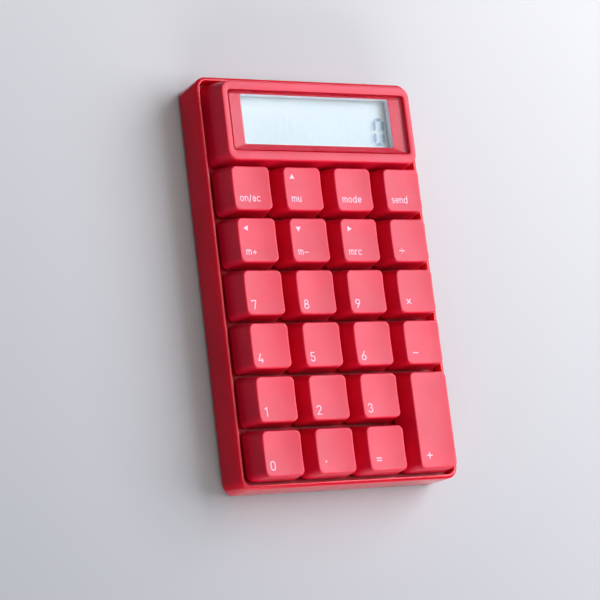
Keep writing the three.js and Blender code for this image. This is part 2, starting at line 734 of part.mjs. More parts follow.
// One contact runs from the board up over the cell, and the other up beside the cell's rim.
const negativeLine = [
  [CONTACT_FOOT_X, CONTACT_FOOT_Z],
  [4.2, CONTACT_FOOT_Z],
  [6.8, 6.45],
  [19.5, 6.45],
];
const positiveLine = [
  [CONTACT_FOOT_X, CONTACT_FOOT_Z],
  [8.2, CONTACT_FOOT_Z],
  [8.8, CONTACT_FOOT_Z + 0.5],
  [8.8, 6.0],
];
add('battery_contact_negative', stripAlongX(negativeLine, CONTACT_THICKNESS, NEGATIVE_Y), 'brass');
add('battery_contact_positive', stripAlongX(positiveLine, CONTACT_THICKNESS, POSITIVE_Y), 'brass');

function batteryCover() {
  const flangeTop = CASE_BOTTOM_Z + COVER_FLANGE_THICKNESS;
  const tabTop = FLOOR_Z + 1;
  const flange = rod(BAY_X, BAY_Y, COVER_FLANGE, CASE_BOTTOM_Z, flangeTop, 32);
  const neck = rod(BAY_X, BAY_Y, COVER_NECK, flangeTop - OVERLAP, FLOOR_Z + 0.2, 32);
  const tabRadii = [COVER_RING_INNER, COVER_TAB];
  const rootRadii = [COVER_RING_INNER, COVER_NECK - OVERLAP];
  let solid = flange.add(neck);
  for (const angle of [0, Math.PI]) {
    const tab = baySector(tabRadii, angle, COVER_TAB_ANGLE, FLOOR_Z + GAP, tabTop);
    const root = baySector(rootRadii, angle, COVER_TAB_ANGLE, FLOOR_Z, tabTop);
    solid = solid.add(tab).add(root);
  }
  const coinSlot = box(
    widened([BAY_X, BAY_X], 7.5),
    widened([BAY_Y, BAY_Y], 0.9),
    [0, CASE_BOTTOM_Z + 0.5],
  );
  return solid.subtract(coinSlot);
}

add('battery_cover', batteryCover(), 'caseRed');

// ---- display ------------------------------------------------------------------------------------

function displayHousing() {
  const faceHalfX = BLOCK_FACE_X / 2;
  const baseHalfX = BLOCK_BASE_X / 2;
  const faceHalfY = (BLOCK_BACK_Y - BLOCK_FRONT_Y) / 2;
  const faceY = (BLOCK_BACK_Y + BLOCK_FRONT_Y) / 2;
  const baseHalfY = faceHalfY + (BLOCK_FRONT_DRAFT + BLOCK_BACK_DRAFT) / 2;
  const baseY = faceY + (BLOCK_BACK_DRAFT - BLOCK_FRONT_DRAFT) / 2;
  const ring = (halfX, halfY, y, inset, z) => (
    atHeight(outline(halfX - inset, halfY - inset, BLOCK_CORNER - inset, 3, y), z)
  );
  const outside = loft([
    ring(baseHalfX, baseHalfY, baseY, 0, BLOCK_BASE_Z),
    ring(faceHalfX + KEY_EDGE / 2, faceHalfY + KEY_EDGE / 2, faceY, 0, TOP_Z - KEY_EDGE),
    ring(faceHalfX, faceHalfY, faceY, 0, TOP_Z),
  ]);
  const ceiling = BEZEL_Z - BEZEL_THICKNESS;
  const hollow = loft([
    ring(baseHalfX, baseHalfY, baseY, BLOCK_WALL, BLOCK_BASE_Z - FLUSH),
    ring(faceHalfX + KEY_EDGE, faceHalfY + KEY_EDGE, faceY, BLOCK_WALL, ceiling),
  ]);
  let solid = outside.subtract(hollow);
  for (const x of [-BLOCK_SCREW_X, BLOCK_SCREW_X]) {
    const boss = rod(x, BLOCK_SCREW_Y, BLOCK_BOSS_RADIUS, BLOCK_BASE_Z, BLOCK_BOSS_TOP_Z, 12);
    const bore = rod(
      x,
      BLOCK_SCREW_Y,
      BLOCK_SCREW_SHANK + GAP,
      BLOCK_BASE_Z - BEYOND,
      BLOCK_SCREW_TIP_Z + 0.6,
      8,
    );
    solid = solid.add(boss).subtract(bore);
  }
  return solid
    .subtract(lensPocket(GAP, LENS_SEAT_Z))
    .subtract(lensPocket(GAP - LENS_SEAT_WIDTH, BEZEL_Z))
    .subtract(panelWindow(ceiling - BEYOND));
}

// A pocket of the lens's outline, made larger all round by grow, from lowZ up through the face.
function lensPocket(grow, lowZ) {
  const points = outline(
    LENS_WIDTH / 2 + grow,
    LENS_HEIGHT / 2 + grow,
    Math.max(LENS_CORNER + grow, OVERLAP),
    2,
    LENS_CENTRE_Y,
  );
  return slab(points, lowZ, TOP_Z + BEYOND);
}

function panelWindow(lowZ) {
  const points = outline(WINDOW_WIDTH / 2, WINDOW_HEIGHT / 2, WINDOW_CORNER, 2, WINDOW_CENTRE_Y);
  return slab(points, lowZ, TOP_Z);
}

add('display_housing', displayHousing(), 'keyRed');

[-BLOCK_SCREW_X, BLOCK_SCREW_X].forEach((x, i) => {
  const heights = [BLOCK_SCREW_HEAD_Z, PLATE_Z - 0.2, BLOCK_SCREW_TIP_Z];
  const solid = screw(x, BLOCK_SCREW_Y, BLOCK_SCREW_HEAD, BLOCK_SCREW_SHANK, heights);
  add(`block_screw_${i + 1}`, solid, 'steel');
});

const lensOutline = outline(LENS_WIDTH / 2, LENS_HEIGHT / 2, LENS_CORNER, 2, LENS_CENTRE_Y);
const lensBottomZ = LENS_SEAT_Z + 0.1;
add('display_lens', slab(lensOutline, lensBottomZ, lensBottomZ + LENS_THICKNESS), 'clear');

const LCD_BOTTOM_Z = LCD_TOP_Z - LCD_THICKNESS;
const lcdX = [-LCD_WIDTH / 2, LCD_WIDTH / 2];
const lcdY = [LCD_CENTRE_Y - LCD_HEIGHT / 2, LCD_CENTRE_Y + LCD_HEIGHT / 2];
add('lcd_panel', box(lcdX, lcdY, [LCD_BOTTOM_Z, LCD_TOP_Z]), 'lcd');

// A shallow tray that holds the panel up against the housing, open where the flex leaves it.
function lcdHolder() {
  const seatZ = LCD_BOTTOM_Z - GAP;
  const grip = HOLDER_RAIL + GAP;
  const openTop = LCD_TOP_Z + BEYOND;
  const outer = box(widened(lcdX, grip), widened(lcdY, grip), [seatZ - HOLDER_BASE, LCD_TOP_Z - 0.1]);
  const pocket = box(widened(lcdX, GAP), widened(lcdY, GAP), [seatZ, openTop]);
  const exit = box(widened(FLEX_X, 0.5), [lcdY[0] - 2 * grip, lcdY[0]], [seatZ, openTop]);
  return outer.subtract(pocket).subtract(exit);
}

add('lcd_holder', lcdHolder(), 'black');

// The printed ribbon that joins the panel to the board, down through the key plate.
function lcdFlex() {
  const thickness = 0.12;
  const radius = 1.0;
  const highZ = LCD_BOTTOM_Z - GAP / 2;
  const lowZ = PCB_TOP_Z + 0.2;
  const inY = 44.5;
  const line = [
    [inY, highZ],
    ...bend(FLEX_Y + radius, highZ - radius, radius, 90, 180),
    ...bend(FLEX_Y + radius, lowZ + radius, radius, 180, 270),
    [inY, lowZ],
  ];
  return stripAlongY(line, thickness, FLEX_X);
}

add('lcd_flex', lcdFlex(), 'flex');

export default calculator;
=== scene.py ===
"""The looks of a calculator with full-size keys: fine meshes and materials round its CAD model.

Shapes are worked out in millimetres, in the CAD frame: +X to the user's right, +Y towards the
display, +Z out of the keys, with the desk at z = 0. They become metres when a mesh is made.
"""

import json
import math

import bmesh
import bpy
from mathutils import Matrix, Vector, geometry


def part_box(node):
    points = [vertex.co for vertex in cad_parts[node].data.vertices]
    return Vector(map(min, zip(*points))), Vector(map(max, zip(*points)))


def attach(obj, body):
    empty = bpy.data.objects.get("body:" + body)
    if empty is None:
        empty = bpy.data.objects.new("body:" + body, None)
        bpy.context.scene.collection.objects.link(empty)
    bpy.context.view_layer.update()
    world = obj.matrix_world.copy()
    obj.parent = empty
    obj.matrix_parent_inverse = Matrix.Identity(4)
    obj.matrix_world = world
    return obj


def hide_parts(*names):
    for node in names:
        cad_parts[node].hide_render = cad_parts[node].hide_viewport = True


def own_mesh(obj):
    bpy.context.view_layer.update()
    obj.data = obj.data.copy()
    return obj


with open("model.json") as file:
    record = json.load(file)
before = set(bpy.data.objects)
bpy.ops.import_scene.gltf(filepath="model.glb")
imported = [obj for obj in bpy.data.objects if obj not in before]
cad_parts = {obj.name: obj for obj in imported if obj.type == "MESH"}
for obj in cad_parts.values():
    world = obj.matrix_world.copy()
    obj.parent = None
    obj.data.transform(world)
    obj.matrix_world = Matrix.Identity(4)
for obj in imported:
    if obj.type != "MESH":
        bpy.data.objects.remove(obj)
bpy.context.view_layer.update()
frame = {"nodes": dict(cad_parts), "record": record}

MM = 0.001
QUARTER = math.pi / 2

# ---- dimensions that the frame's boxes don't give, in millimetres ----

KEY_HEIGHT = 10.2  # a keycap's skirt to its face's corners
KEY_SIDE_DRAFT = 2.36
KEY_FRONT_DRAFT = 0.4
KEY_BACK_DRAFT = 1.95
KEY_FACE_CORNER = 1.45
KEY_BASE_CORNER = 2.1
KEY_FILLET = 0.5
KEY_WALL = 1.3
KEY_ROOF = 2.4  # a keycap's thickness under its face's corners
KEY_ROOF_CORNER = 0.8
KEY_INNER_CORNER = 1.3
KEY_INNER_STEP = 0.2  # of the inner wall's foot, above the skirt's foot
KEY_FOOT_STEPS = ((0.02, 0.12), (0.15, 0.0), (0.9, 0.0))  # insets and rises round the skirt's foot
FACE_SHARES = (0.12, 0.3, 0.5, 0.7, 0.86, 0.95)  # rings from the middle of the face outwards
SKIRT_SHARES = (0.25, 0.5, 0.75, 0.97)  # rings down the skirt
FILLET_DEGREES = (0, 18, 36, 54, 72)  # steps round a face's edge
DISH_RADIUS = 70.0
STEM_HALF = 3.0
STEM_CORNER = 0.5
STEM_FOOT_TAPER = 0.2
LUG_REACH = 0.9
LUG_HALF_WIDTH = 1.5
LUG_HEIGHT = 0.8
LUG_STEP = 0.05
LUG_FOOT_TAPER = 0.3

CASE_CORNER = 4.0
CASE_WALL = 1.45
FLOOR_THICKNESS = 1.4
CASE_BOTTOM_FILLET = 0.6
RIM_OUTER_FILLET = 1.05
RIM_INNER_FILLET = 0.2
TRAY_FLOOR_FILLET = 0.5
TRAY_LEAST_CORNER = 0.4
FEET = [f"foot_{i}" for i in range(1, 5)]
CASE_SCREWS = [f"case_screw_{i}" for i in range(1, 7)]

BLOCK_SIDE_DRAFT = 2.25
BLOCK_FRONT_DRAFT = 0.2
BLOCK_BACK_DRAFT = 2.3
BLOCK_CORNER = 3.2
BLOCK_FILLET = 0.5
BLOCK_WALL = 1.5
BLOCK_INNER_CORNER = 1.0
LENS_GAP = 0.3
LENS_SEAT_DEPTH = 1.4  # below the block's face
LENS_SEAT_WIDTH = 0.9
LENS_CORNER = 0.8
RECESS_CORNER = 1.1
WELL_CORNER = 0.3
WINDOW_CORNER = 0.6
LEAST_CORNER = 0.1
MOUTH_EDGE = 0.12  # softened edges of the lens and of the openings round it
FRAME_DEPTH = 1.85  # of the window's edge, below the block's face
FRAME_FOOT_DEPTH = 4.1  # of the window's lower edge
WINDOW_WIDTH = 56.2
WINDOW_HEIGHT = 17.2
WINDOW_SHIFT_Y = 0.5  # from the middle of the panel

LEGEND_PROUD = 0.02  # printed ink above the plastic
LEGEND_DEPTH = 0.05


# ---- meshes ----


def node_box(name):
    """A CAD node's lowest and highest corners, in millimetres."""
    low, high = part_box(name)
    return low / MM, high / MM


def centre_of(low, high):
    """The middle of a box, seen from above."""
    return ((low.x + high.x) / 2, (low.y + high.y) / 2)


def half_of(low, high):
    """Half of a box's width and half of its length."""
    return ((high.x - low.x) / 2, (high.y - low.y) / 2)


def body_of(node):
    for body, nodes in frame["record"]["behaviour"]["bodies"].items():
        if node in nodes:
            return body
    raise KeyError(node)


def put_in_scene(name, data):
    made = bpy.data.objects.new(name, data)
    bpy.context.scene.collection.objects.link(made)
    return made


def make_object(name, points, faces, material, sharp=40):
    """A smooth-shaded mesh from points in millimetres. Edges over sharp degrees stay sharp."""
    mesh = bpy.data.meshes.new(name)
    mesh.from_pydata([Vector(p) * MM for p in points], [], faces)
    work = bmesh.new()
    work.from_mesh(mesh)
    bmesh.ops.remove_doubles(work, verts=work.verts, dist=1e-7)
    bmesh.ops.recalc_face_normals(work, faces=work.faces)
    work.to_mesh(mesh)
    work.free()
    shade(mesh, sharp)
    mesh.materials.append(materials[material])
    return put_in_scene(name, mesh)


def shade(mesh, sharp):
    mesh.polygons.foreach_set("use_smooth", [True] * len(mesh.polygons))
    mesh.set_sharp_from_angle(angle=math.radians(sharp))


def settle(piece, node):
    """Puts a finished piece on its CAD node's body, in place of the node."""
    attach(piece, body_of(node))
    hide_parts(node)


def rounded(half_x, half_y, radius, centre=(0.0, 0.0), corner_steps=6, side_steps=(1, 1)):
    """Points of a rounded rectangle, anticlockwise from the foot of its right-hand side, each with
    its outward direction."""
    points = []
    for quarter in range(4):
        out = Vector((math.cos(quarter * QUARTER), math.sin(quarter * QUARTER)))
        along = Vector((-out.y, out.x))
        reach, run = (half_x, half_y) if quarter % 2 == 0 else (half_y, half_x)
        steps = side_steps[1] if quarter % 2 == 0 else side_steps[0]
        for step in range(steps):
            place = (2 * step / steps - 1) * (run - radius)
            points.append((out * reach + along * place, out))
        middle = out * (reach - radius) + along * (run - radius)
        for step in range(corner_steps):
            angle = (quarter + step / corner_steps) * QUARTER
            outward = Vector((math.cos(angle), math.sin(angle)))
            points.append((middle + outward * radius, outward))
    return [(p + Vector(centre), outward) for p, outward in points]


def ring_at(outline, z):
    return [(p.x, p.y, z) for p, _ in outline]


def loft(rings, ends="faces"):
    """Points and faces of a skin through rings of equal count. ends: faces, fan or loop."""
    count = len(rings[0])
    points = [p for ring in rings for p in ring]
    faces = []
    last = len(rings) if ends == "loop" else len(rings) - 1
    for level in range(last):
        low = level * count
        high = (level + 1) % len(rings) * count
        for i in range(count):
            after = (i + 1) % count
            faces.append((low + i, low + after, high + after, high + i))
    if ends == "loop":
        return points, faces
    for level in (0, len(rings) - 1):
        start = level * count
        if ends == "faces":
            faces.append(tuple(range(start, start + count)))
            continue
        points.append(tuple(sum(c) / count for c in zip(*rings[level])))
        middle = len(points) - 1
        for i in range(count):
            faces.append((start + i, start + (i + 1) % count, middle))
    return points, faces


def arc(centre_a, centre_b, radius, start_degrees, end_degrees, steps=4):
    """Points of an arc in a profile's plane."""
    points = []
    for step in range(steps + 1):
        angle = math.radians(start_degrees + (end_degrees - start_degrees) * step / steps)
        points.append((centre_a + radius * math.cos(angle), centre_b + radius * math.sin(angle)))
    return points


def lathe(profile, centre, segments=64):
    """Points and faces of a profile of (radius, z) turned about an upright axis. The profile starts
    and ends on the axis."""
    rings = []
    for radius, z in profile[1:-1]:
        ring = []
        for i in range(segments):
            angle = 4 * QUARTER * i / segments
            x = centre[0] + radius * math.cos(angle)
            y = centre[1] + radius * math.sin(angle)
            ring.append((x, y, z))
        rings.append(ring)
    return loft(rings)


def block(low, high):
    """A plain box, for cutting."""
    corners = []
    for z in (low[2], high[2]):
        for y in (low[1], high[1]):
            corners += [(low[0], y, z), (high[0], y, z)]
    faces = [(0, 2, 3, 1), (4, 5, 7, 6), (0, 1, 5, 4), (2, 6, 7, 3), (0, 4, 6, 2), (1, 3, 7, 5)]
    return make_object("cutter", corners, faces, "case")


def carve(target, cutter):
    """Cuts one shape out of target's mesh and removes the cutter."""
    modifier = target.modifiers.new("carve", "BOOLEAN")
    modifier.operation = "DIFFERENCE"
    modifier.object = cutter
    modifier.solver = "EXACT"
    bpy.context.view_layer.update()
    evaluated = target.evaluated_get(bpy.context.evaluated_depsgraph_get())
    mesh = bpy.data.meshes.new_from_object(evaluated)
    target.modifiers.clear()
    target.data = mesh
    bpy.data.objects.remove(cutter)
    shade(mesh, sharp=35)


# ---- materials ----


# The part of a noise's grey that reaches from one end of a range or of a mix to the other.
SPREAD_GREYS = (0.3, 0.7)
TINT_GREYS = (0.35, 0.65)


class Nodes:
    """Builds one material's node tree."""

    def __init__(self, name):
        self.material = bpy.data.materials.new(name)
        self.material.use_nodes = True
        self.tree = self.material.node_tree
        self.shader = self.tree.nodes["Principled BSDF"]

    def node(self, kind, **settings):
        made = self.tree.nodes.new(kind)
        for key, value in settings.items():
            made.inputs[key].default_value = value
        return made

    def link(self, source, output, target, socket):
        self.tree.links.new(source.outputs[output], target.inputs[socket])

    def noise(self, scale, detail=2.0, roughness=0.5):
        """Noise over the object's own space; scale is in waves per metre."""
        place = self.node("ShaderNodeTexCoord")
        made = self.node("ShaderNodeTexNoise", Scale=scale, Detail=detail, Roughness=roughness)
        self.link(place, "Object", made, "Vector")
        return made

    def gloss(self, source, smoothest, roughest):
        """Varies the roughness between two values by a noise's grey."""
        made = self.node("ShaderNodeMapRange")
        made.inputs["From Min"].default_value = SPREAD_GREYS[0]
        made.inputs["From Max"].default_value = SPREAD_GREYS[1]
        made.inputs["To Min"].default_value = smoothest
        made.inputs["To Max"].default_value = roughest
        self.link(source, "Fac", made, "Value")
        self.link(made, "Result", self.shader, "Roughness")

    def tint(self, source, first, second):
        """Mixes two colours by a noise's grey."""
        made = self.node("ShaderNodeValToRGB")
        for element, grey, colour in zip(made.color_ramp.elements, TINT_GREYS, (first, second)):
            element.position = grey
            element.color = (*colour, 1)
        self.link(source, "Fac", made, "Fac")
        self.link(made, "Color", self.shader, "Base Color")

    def bump(self, source, strength, distance):
        """Raises the surface by a noise's grey; distance is in metres."""
        made = self.node("ShaderNodeBump", Strength=strength, Distance=distance)
        self.link(source, "Fac", made, "Height")
        self.link(made, "Normal", self.shader, "Normal")

    def set(self, **sockets):
        for key, value in sockets.items():
            self.shader.inputs[key.replace("_", " ")].default_value = value


def scaled(colour, factor):
    return tuple(min(part * factor, 1) for part in colour)


def moulded(name, colour, roughness, grain=(9000.0, 3e-6), spread=0.04, vary=0.06, glow=0.0):
    """Moulded plastic: even colour with a trace of flow, and a fine grain in its gloss. grain holds
    waves per metre and depth in metres. glow is how much light passes into the plastic."""
    made = Nodes(name)
    flow = made.noise(scale=60.0, detail=3.0)
    made.tint(flow, scaled(colour, 1 - vary), scaled(colour, 1 + vary))
    handled = made.noise(scale=180.0, detail=4.0, roughness=0.6)
    made.gloss(handled, roughness - spread, roughness + spread)
    made.bump(made.noise(grain[0]), strength=0.35, distance=grain[1])
    made.set(Subsurface_Weight=glow, Subsurface_Radius=(1.0, 0.08, 0.1), Subsurface_Scale=0.002)
    return made.material


def metal(name, colour, roughness):
    """Plated or rolled metal with faint streaks."""
    made = Nodes(name)
    streaks = made.noise(scale=2500.0, detail=3.0)
    made.tint(streaks, scaled(colour, 0.9), colour)
    made.gloss(streaks, roughness - 0.06, roughness + 0.08)
    made.bump(streaks, strength=0.2, distance=4e-6)
    made.set(Metallic=1.0)
    return made.material


def clear_plastic(name):
    """Polished acrylic with the faintest scuffs."""
    made = Nodes(name)
    made.gloss(made.noise(scale=400.0, detail=5.0, roughness=0.6), 0.02, 0.06)
    made.set(Base_Color=(0.99, 0.99, 0.99, 1), Transmission_Weight=1.0, IOR=1.1)
    return made.material


def soldered_board(name):
    """Solder mask over copper: the tracks show as a lighter green."""
    made = Nodes(name)
    place = made.node("ShaderNodeTexCoord")
    tracks = made.node("ShaderNodeTexBrick", Scale=260.0)
    mask, shaded_mask, copper = (0.02, 0.13, 0.05), (0.03, 0.17, 0.07), (0.06, 0.28, 0.12)
    for socket, green in (("Color1", mask), ("Color2", shaded_mask), ("Mortar", copper)):
        tracks.inputs[socket].default_value = (*green, 1)
    made.link(place, "Object", tracks, "Vector")
    made.link(tracks, "Color", made.shader, "Base Color")
    made.gloss(made.noise(scale=300.0), 0.3, 0.45)
    return made.material


def liquid_crystal(name):
    """The panel's pale polariser: a cool silver-grey with the finest mottling."""
    made = Nodes(name)
    made.tint(made.noise(scale=90.0), (0.67, 0.79, 0.78), (0.71, 0.83, 0.82))
    made.gloss(made.noise(scale=3000.0), 0.32, 0.4)
    made.bump(made.noise(scale=6000.0), strength=0.2, distance=2e-6)
    made.set(Specular_IOR_Level=0.15)
    return made.material


def rubber(name, colour):
    """Dull moulded rubber with a coarse skin."""
    made = Nodes(name)
    made.tint(made.noise(scale=250.0, detail=4.0), scaled(colour, 0.85), colour)
    made.gloss(made.noise(scale=900.0), 0.7, 0.9)
    made.bump(made.noise(scale=4000.0, detail=3.0), strength=0.5, distance=2e-5)
    return made.material


KEY_RED = (0.69, 0.006, 0.036)
CASE_RED = (0.67, 0.006, 0.028)

materials = {
    "key": moulded("satin_red_plastic", KEY_RED, 0.36, glow=0.4),
    "case": moulded("gloss_red_plastic", CASE_RED, 0.13, (700.0, 4e-6), spread=0.02, glow=0.8),
    "plate": moulded("inner_red_plastic", (0.65, 0.005, 0.02), 0.4, glow=0.5),
    "ink": moulded("printed_ink", (0.90, 0.58, 0.67), 0.5, vary=0.03),
    "black": moulded("black_plastic", (0.02, 0.02, 0.022), 0.45),
    "flex": moulded("amber_film", (0.35, 0.16, 0.03), 0.3),
    "collar": moulded("window_collar", (0.84, 0.85, 0.92), 0.5),
    "segment": moulded("display_segment", (0.30, 0.42, 0.52), 0.35, vary=0.04),
    # painted shadow of the lit nought, laid as a shifted copy of its segments
    "segment_shade": moulded("display_segment_shade", (0.50, 0.64, 0.71), 0.35, vary=0.02),
    "ghost": moulded("display_ghost_segment", (0.64, 0.77, 0.77), 0.35, vary=0.02),
    "lens": clear_plastic("clear_acrylic"),
    "lcd": liquid_crystal("liquid_crystal"),
    "board": soldered_board("solder_mask"),
    "dome": rubber("silicone_rubber", (0.55, 0.55, 0.53)),
    "foot": rubber("foot_rubber", (0.035, 0.035, 0.037)),
    "steel": metal("plated_steel", (0.70, 0.70, 0.72), 0.28),
    "brass": metal("sprung_brass", (0.78, 0.60, 0.28), 0.25),
}


# ---- keycaps ----


class Keycap:
    """One key's shape, taken from its CAD node's box."""

    def __init__(self, node):
        low, high = node_box(node)
        self.node = node
        self.top = node_box("display_housing")[1].z
        self.stem_foot = low.z
        self.base_centre = centre_of(low, high)
        self.base_half = half_of(low, high)
        face_shift = (KEY_BACK_DRAFT - KEY_FRONT_DRAFT) / 2
        self.centre = (self.base_centre[0], self.base_centre[1] - face_shift)
        self.half_x = self.base_half[0] - KEY_SIDE_DRAFT
        self.half_y = self.base_half[1] - (KEY_FRONT_DRAFT + KEY_BACK_DRAFT) / 2
        self.is_tall = self.half_y > 1.5 * self.half_x

    def face_z(self, x, y):
        """Height of the dished face over a point."""
        x -= self.centre[0]
        y -= self.centre[1]
        if self.is_tall:
            return self.top + (x * x - self.half_x**2) / (2 * DISH_RADIUS)
        return self.top + (x * x + y * y - self.half_x**2 - self.half_y**2) / (2 * DISH_RADIUS)

    def outline(self, half_x, half_y, radius, centre):
        return rounded(half_x, half_y, radius, centre, corner_steps=7, side_steps=(10, 10))

    def rings(self):
        """Rings from the face's middle, over its edge, down the outside, and back up the inside to
        the stem and its foot."""
        face_half = (self.half_x - KEY_FILLET / 2, self.half_y - KEY_FILLET / 2)
        face = self.outline(*face_half, KEY_FACE_CORNER, self.centre)
        rings = []
        for scale in FACE_SHARES:
            ring = []
            for p, _ in face:
                x = self.centre[0] + (p.x - self.centre[0]) * scale
                y = self.centre[1] + (p.y - self.centre[1]) * scale
                ring.append((x, y, self.face_z(x, y)))
            rings.append(ring)
        for degrees in FILLET_DEGREES:
            out = KEY_FILLET * math.sin(math.radians(degrees))
            down = KEY_FILLET * (1 - math.cos(math.radians(degrees)))
            rings.append([
                (p.x + n.x * out, p.y + n.y * out, self.face_z(p.x, p.y) - down) for p, n in face
            ])
        base_z = self.top - KEY_HEIGHT
        base = self.outline(*self.base_half, KEY_BASE_CORNER, self.base_centre)
        shoulder = rings[-1]
        for share in SKIRT_SHARES:
            rings.append([
                tuple(a + (b - a) * share for a, b in zip(s, (p.x, p.y, base_z)))
                for s, (p, _) in zip(shoulder, base)
            ])
        for inset, rise in KEY_FOOT_STEPS:
            rings.append([(p.x - n.x * inset, p.y - n.y * inset, base_z + rise) for p, n in base])
        inner_half = (self.base_half[0] - KEY_WALL, self.base_half[1] - KEY_WALL)
        inner = self.outline(*inner_half, KEY_INNER_CORNER, self.base_centre)
        rings.append(ring_at(inner, base_z + KEY_INNER_STEP))
        roof_z = self.top - KEY_ROOF
        roof_half = (self.half_x - KEY_WALL, self.half_y - KEY_WALL)
        roof = self.outline(*roof_half, KEY_ROOF_CORNER, self.centre)
        rings.append(ring_at(roof, roof_z))
        rings += self.stem_rings(roof_z)
        return rings

    def stem_rings(self, roof_z):
        """Rings down the square stem and over the lugs near its foot."""

        def stem(z, shrink=0.0, lugs=0.0):
            half = STEM_HALF - shrink
            ring = []
            for p, n in self.outline(half, half, STEM_CORNER, self.base_centre):
                faces_side = abs(n.x) > abs(n.y)
                on_lug = faces_side and abs(p.y - self.base_centre[1]) <= LUG_HALF_WIDTH
                x = p.x + (math.copysign(lugs, n.x) if on_lug else 0)
                ring.append((x, p.y, z))
            return ring

        foot = self.stem_foot
        return [
            stem(roof_z),
            stem(foot + LUG_HEIGHT + LUG_STEP),
            stem(foot + LUG_HEIGHT, lugs=LUG_REACH),
            stem(foot + LUG_FOOT_TAPER, lugs=LUG_REACH),
            stem(foot, shrink=STEM_FOOT_TAPER, lugs=LUG_REACH - LUG_FOOT_TAPER),
        ]

    def build(self):
        name = self.node.replace("key_", "keycap_")
        piece = make_object(name, *loft(self.rings(), ends="fan"), "key", sharp=50)
        settle(piece, self.node)


# ---- legends: a plain single-line alphabet, thickened into flat ink ----


def curve(centre, radii, start, end, steps=10):
    """Points of an elliptical arc, in degrees."""
    points = []
    for step in range(steps + 1):
        angle = math.radians(start + (end - start) * step / steps)
        x = centre[0] + radii[0] * math.cos(angle)
        points.append((x, centre[1] + radii[1] * math.sin(angle)))
    return points


def digit_strokes():
    """Narrow digits 3.1 units tall between the middles of their strokes."""

    def ring(centre, radii):
        return curve(centre, radii, 0, 360, 16)

    oval = curve((0.86, 2.45), (0.8, 0.8), 0, 180) + curve((0.86, 1.05), (0.8, 0.8), 180, 360)
    return {
        "0": [oval + [oval[0]]],
        "1": [[(0.3, 2.55), (1, 3.1), (1, 0)]],
        "2": [curve((0.8, 2.3), (0.8, 0.8), 165, -35) + [(0.05, 0), (1.7, 0)]],
        "3": [curve((0.78, 2.33), (0.74, 0.77), 160, -75),
              curve((0.8, 0.82), (0.84, 0.82), 78, -160)],
        "4": [[(1.05, 3.1), (0.1, 0.75), (1.85, 0.75)], [(1.4, 1.35), (1.4, 0)]],
        "5": [[(1.55, 3.1), (0.3, 3.1), (0.2, 1.75)]
              + curve((0.82, 0.93), (0.83, 0.93), 130, -155)],
        "6": [[(1.3, 3.1), (0.08, 1.15)], ring((0.83, 0.83), (0.83, 0.83))],
        "7": [[(0, 2.75), (0, 3.1), (1.65, 3.1), (0.85, 0)]],
        "8": [ring((0.85, 2.37), (0.7, 0.73)), ring((0.85, 0.82), (0.84, 0.82))],
        "9": [[(0.75, 0), (1.92, 1.95)], ring((1.13, 2.27), (0.83, 0.83))],
    }


def letter_strokes():
    """Small letters with an x-height of 1.35 mm, each with the distance to the next letter."""
    bowl = curve((0.5, 0.68), (0.5, 0.68), 0, 360, 14)
    arch = [(0, 0), (0, 0.85)] + curve((0.42, 0.9), (0.42, 0.45), 170, 0, 6) + [(0.84, 0)]
    hump = curve((0.36, 0.95), (0.36, 0.4), 170, 0, 6)
    second_hump = [(x + 0.72, y) for x, y in hump]
    return {
        "o": ([bowl], 1.45),
        "n": ([[(0, 1.35), (0, 0)], arch[1:]], 1.3),
        "m": ([[(0, 1.35), (0, 0)], hump + [(0.72, 0)], second_hump + [(1.44, 0)]], 1.95),
        "u": ([[(0, 1.35), (0, 0.45)] + curve((0.42, 0.45), (0.42, 0.45), 180, 360, 6),
               [(0.84, 1.35), (0.84, 0)]], 1.3),
        "a": ([curve((0.42, 0.9), (0.4, 0.45), 150, 0, 6) + [(0.82, 0)],
               curve((0.42, 0.4), (0.42, 0.4), 60, 360, 10)], 1.3),
        "c": ([curve((0.55, 0.68), (0.55, 0.68), 50, 310)], 1.25),
        "d": ([bowl, [(1, 2), (1, 0)]], 1.5),
        "e": ([[(0.05, 0.7), (1, 0.7)] + curve((0.52, 0.68), (0.5, 0.68), 10, 310, 12)], 1.4),
        "s": ([curve((0.42, 1), (0.36, 0.34), 40, 250, 6)
               + curve((0.42, 0.35), (0.38, 0.35), 70, -140, 6)], 1.2),
        "r": ([[(0, 1.35), (0, 0)], curve((0.4, 0.85), (0.4, 0.5), 170, 70, 5)], 0.95),
        "/": ([[(0, -0.3), (0.5, 1.85)]], 0.95),
        "+": ([[(0, 0.68), (1.1, 0.68)], [(0.55, 0.13), (0.55, 1.23)]], 1.45),
        "-": ([[(0, 0.68), (1.1, 0.68)]], 1.45),
    }


DIGITS = digit_strokes()
LETTERS = letter_strokes()
DIGIT_SCALE = 0.92
DIGIT_STROKE = 0.34
LETTER_SCALE = 1.17
LETTER_SPACE = 0.06
LETTER_STROKE = 0.28
OPERATOR_STROKE = 0.36
POINT_WIDTH = 0.6
POINT_HALF_LENGTH = 0.02

# Distances from the middle of a key's face.
DIGIT_AT = (-4.85, -5.45)
WORD_X = -4.55
OPERATOR_AT = (-3.2, -3.5)
TALL_OPERATOR_AT = (-3.1, -11.8)
POINT_AT = (-3.8, -3.35)
TRIANGLE_AT = (-3.67, 4.0)
TRIANGLE_RADIUS = 1.1

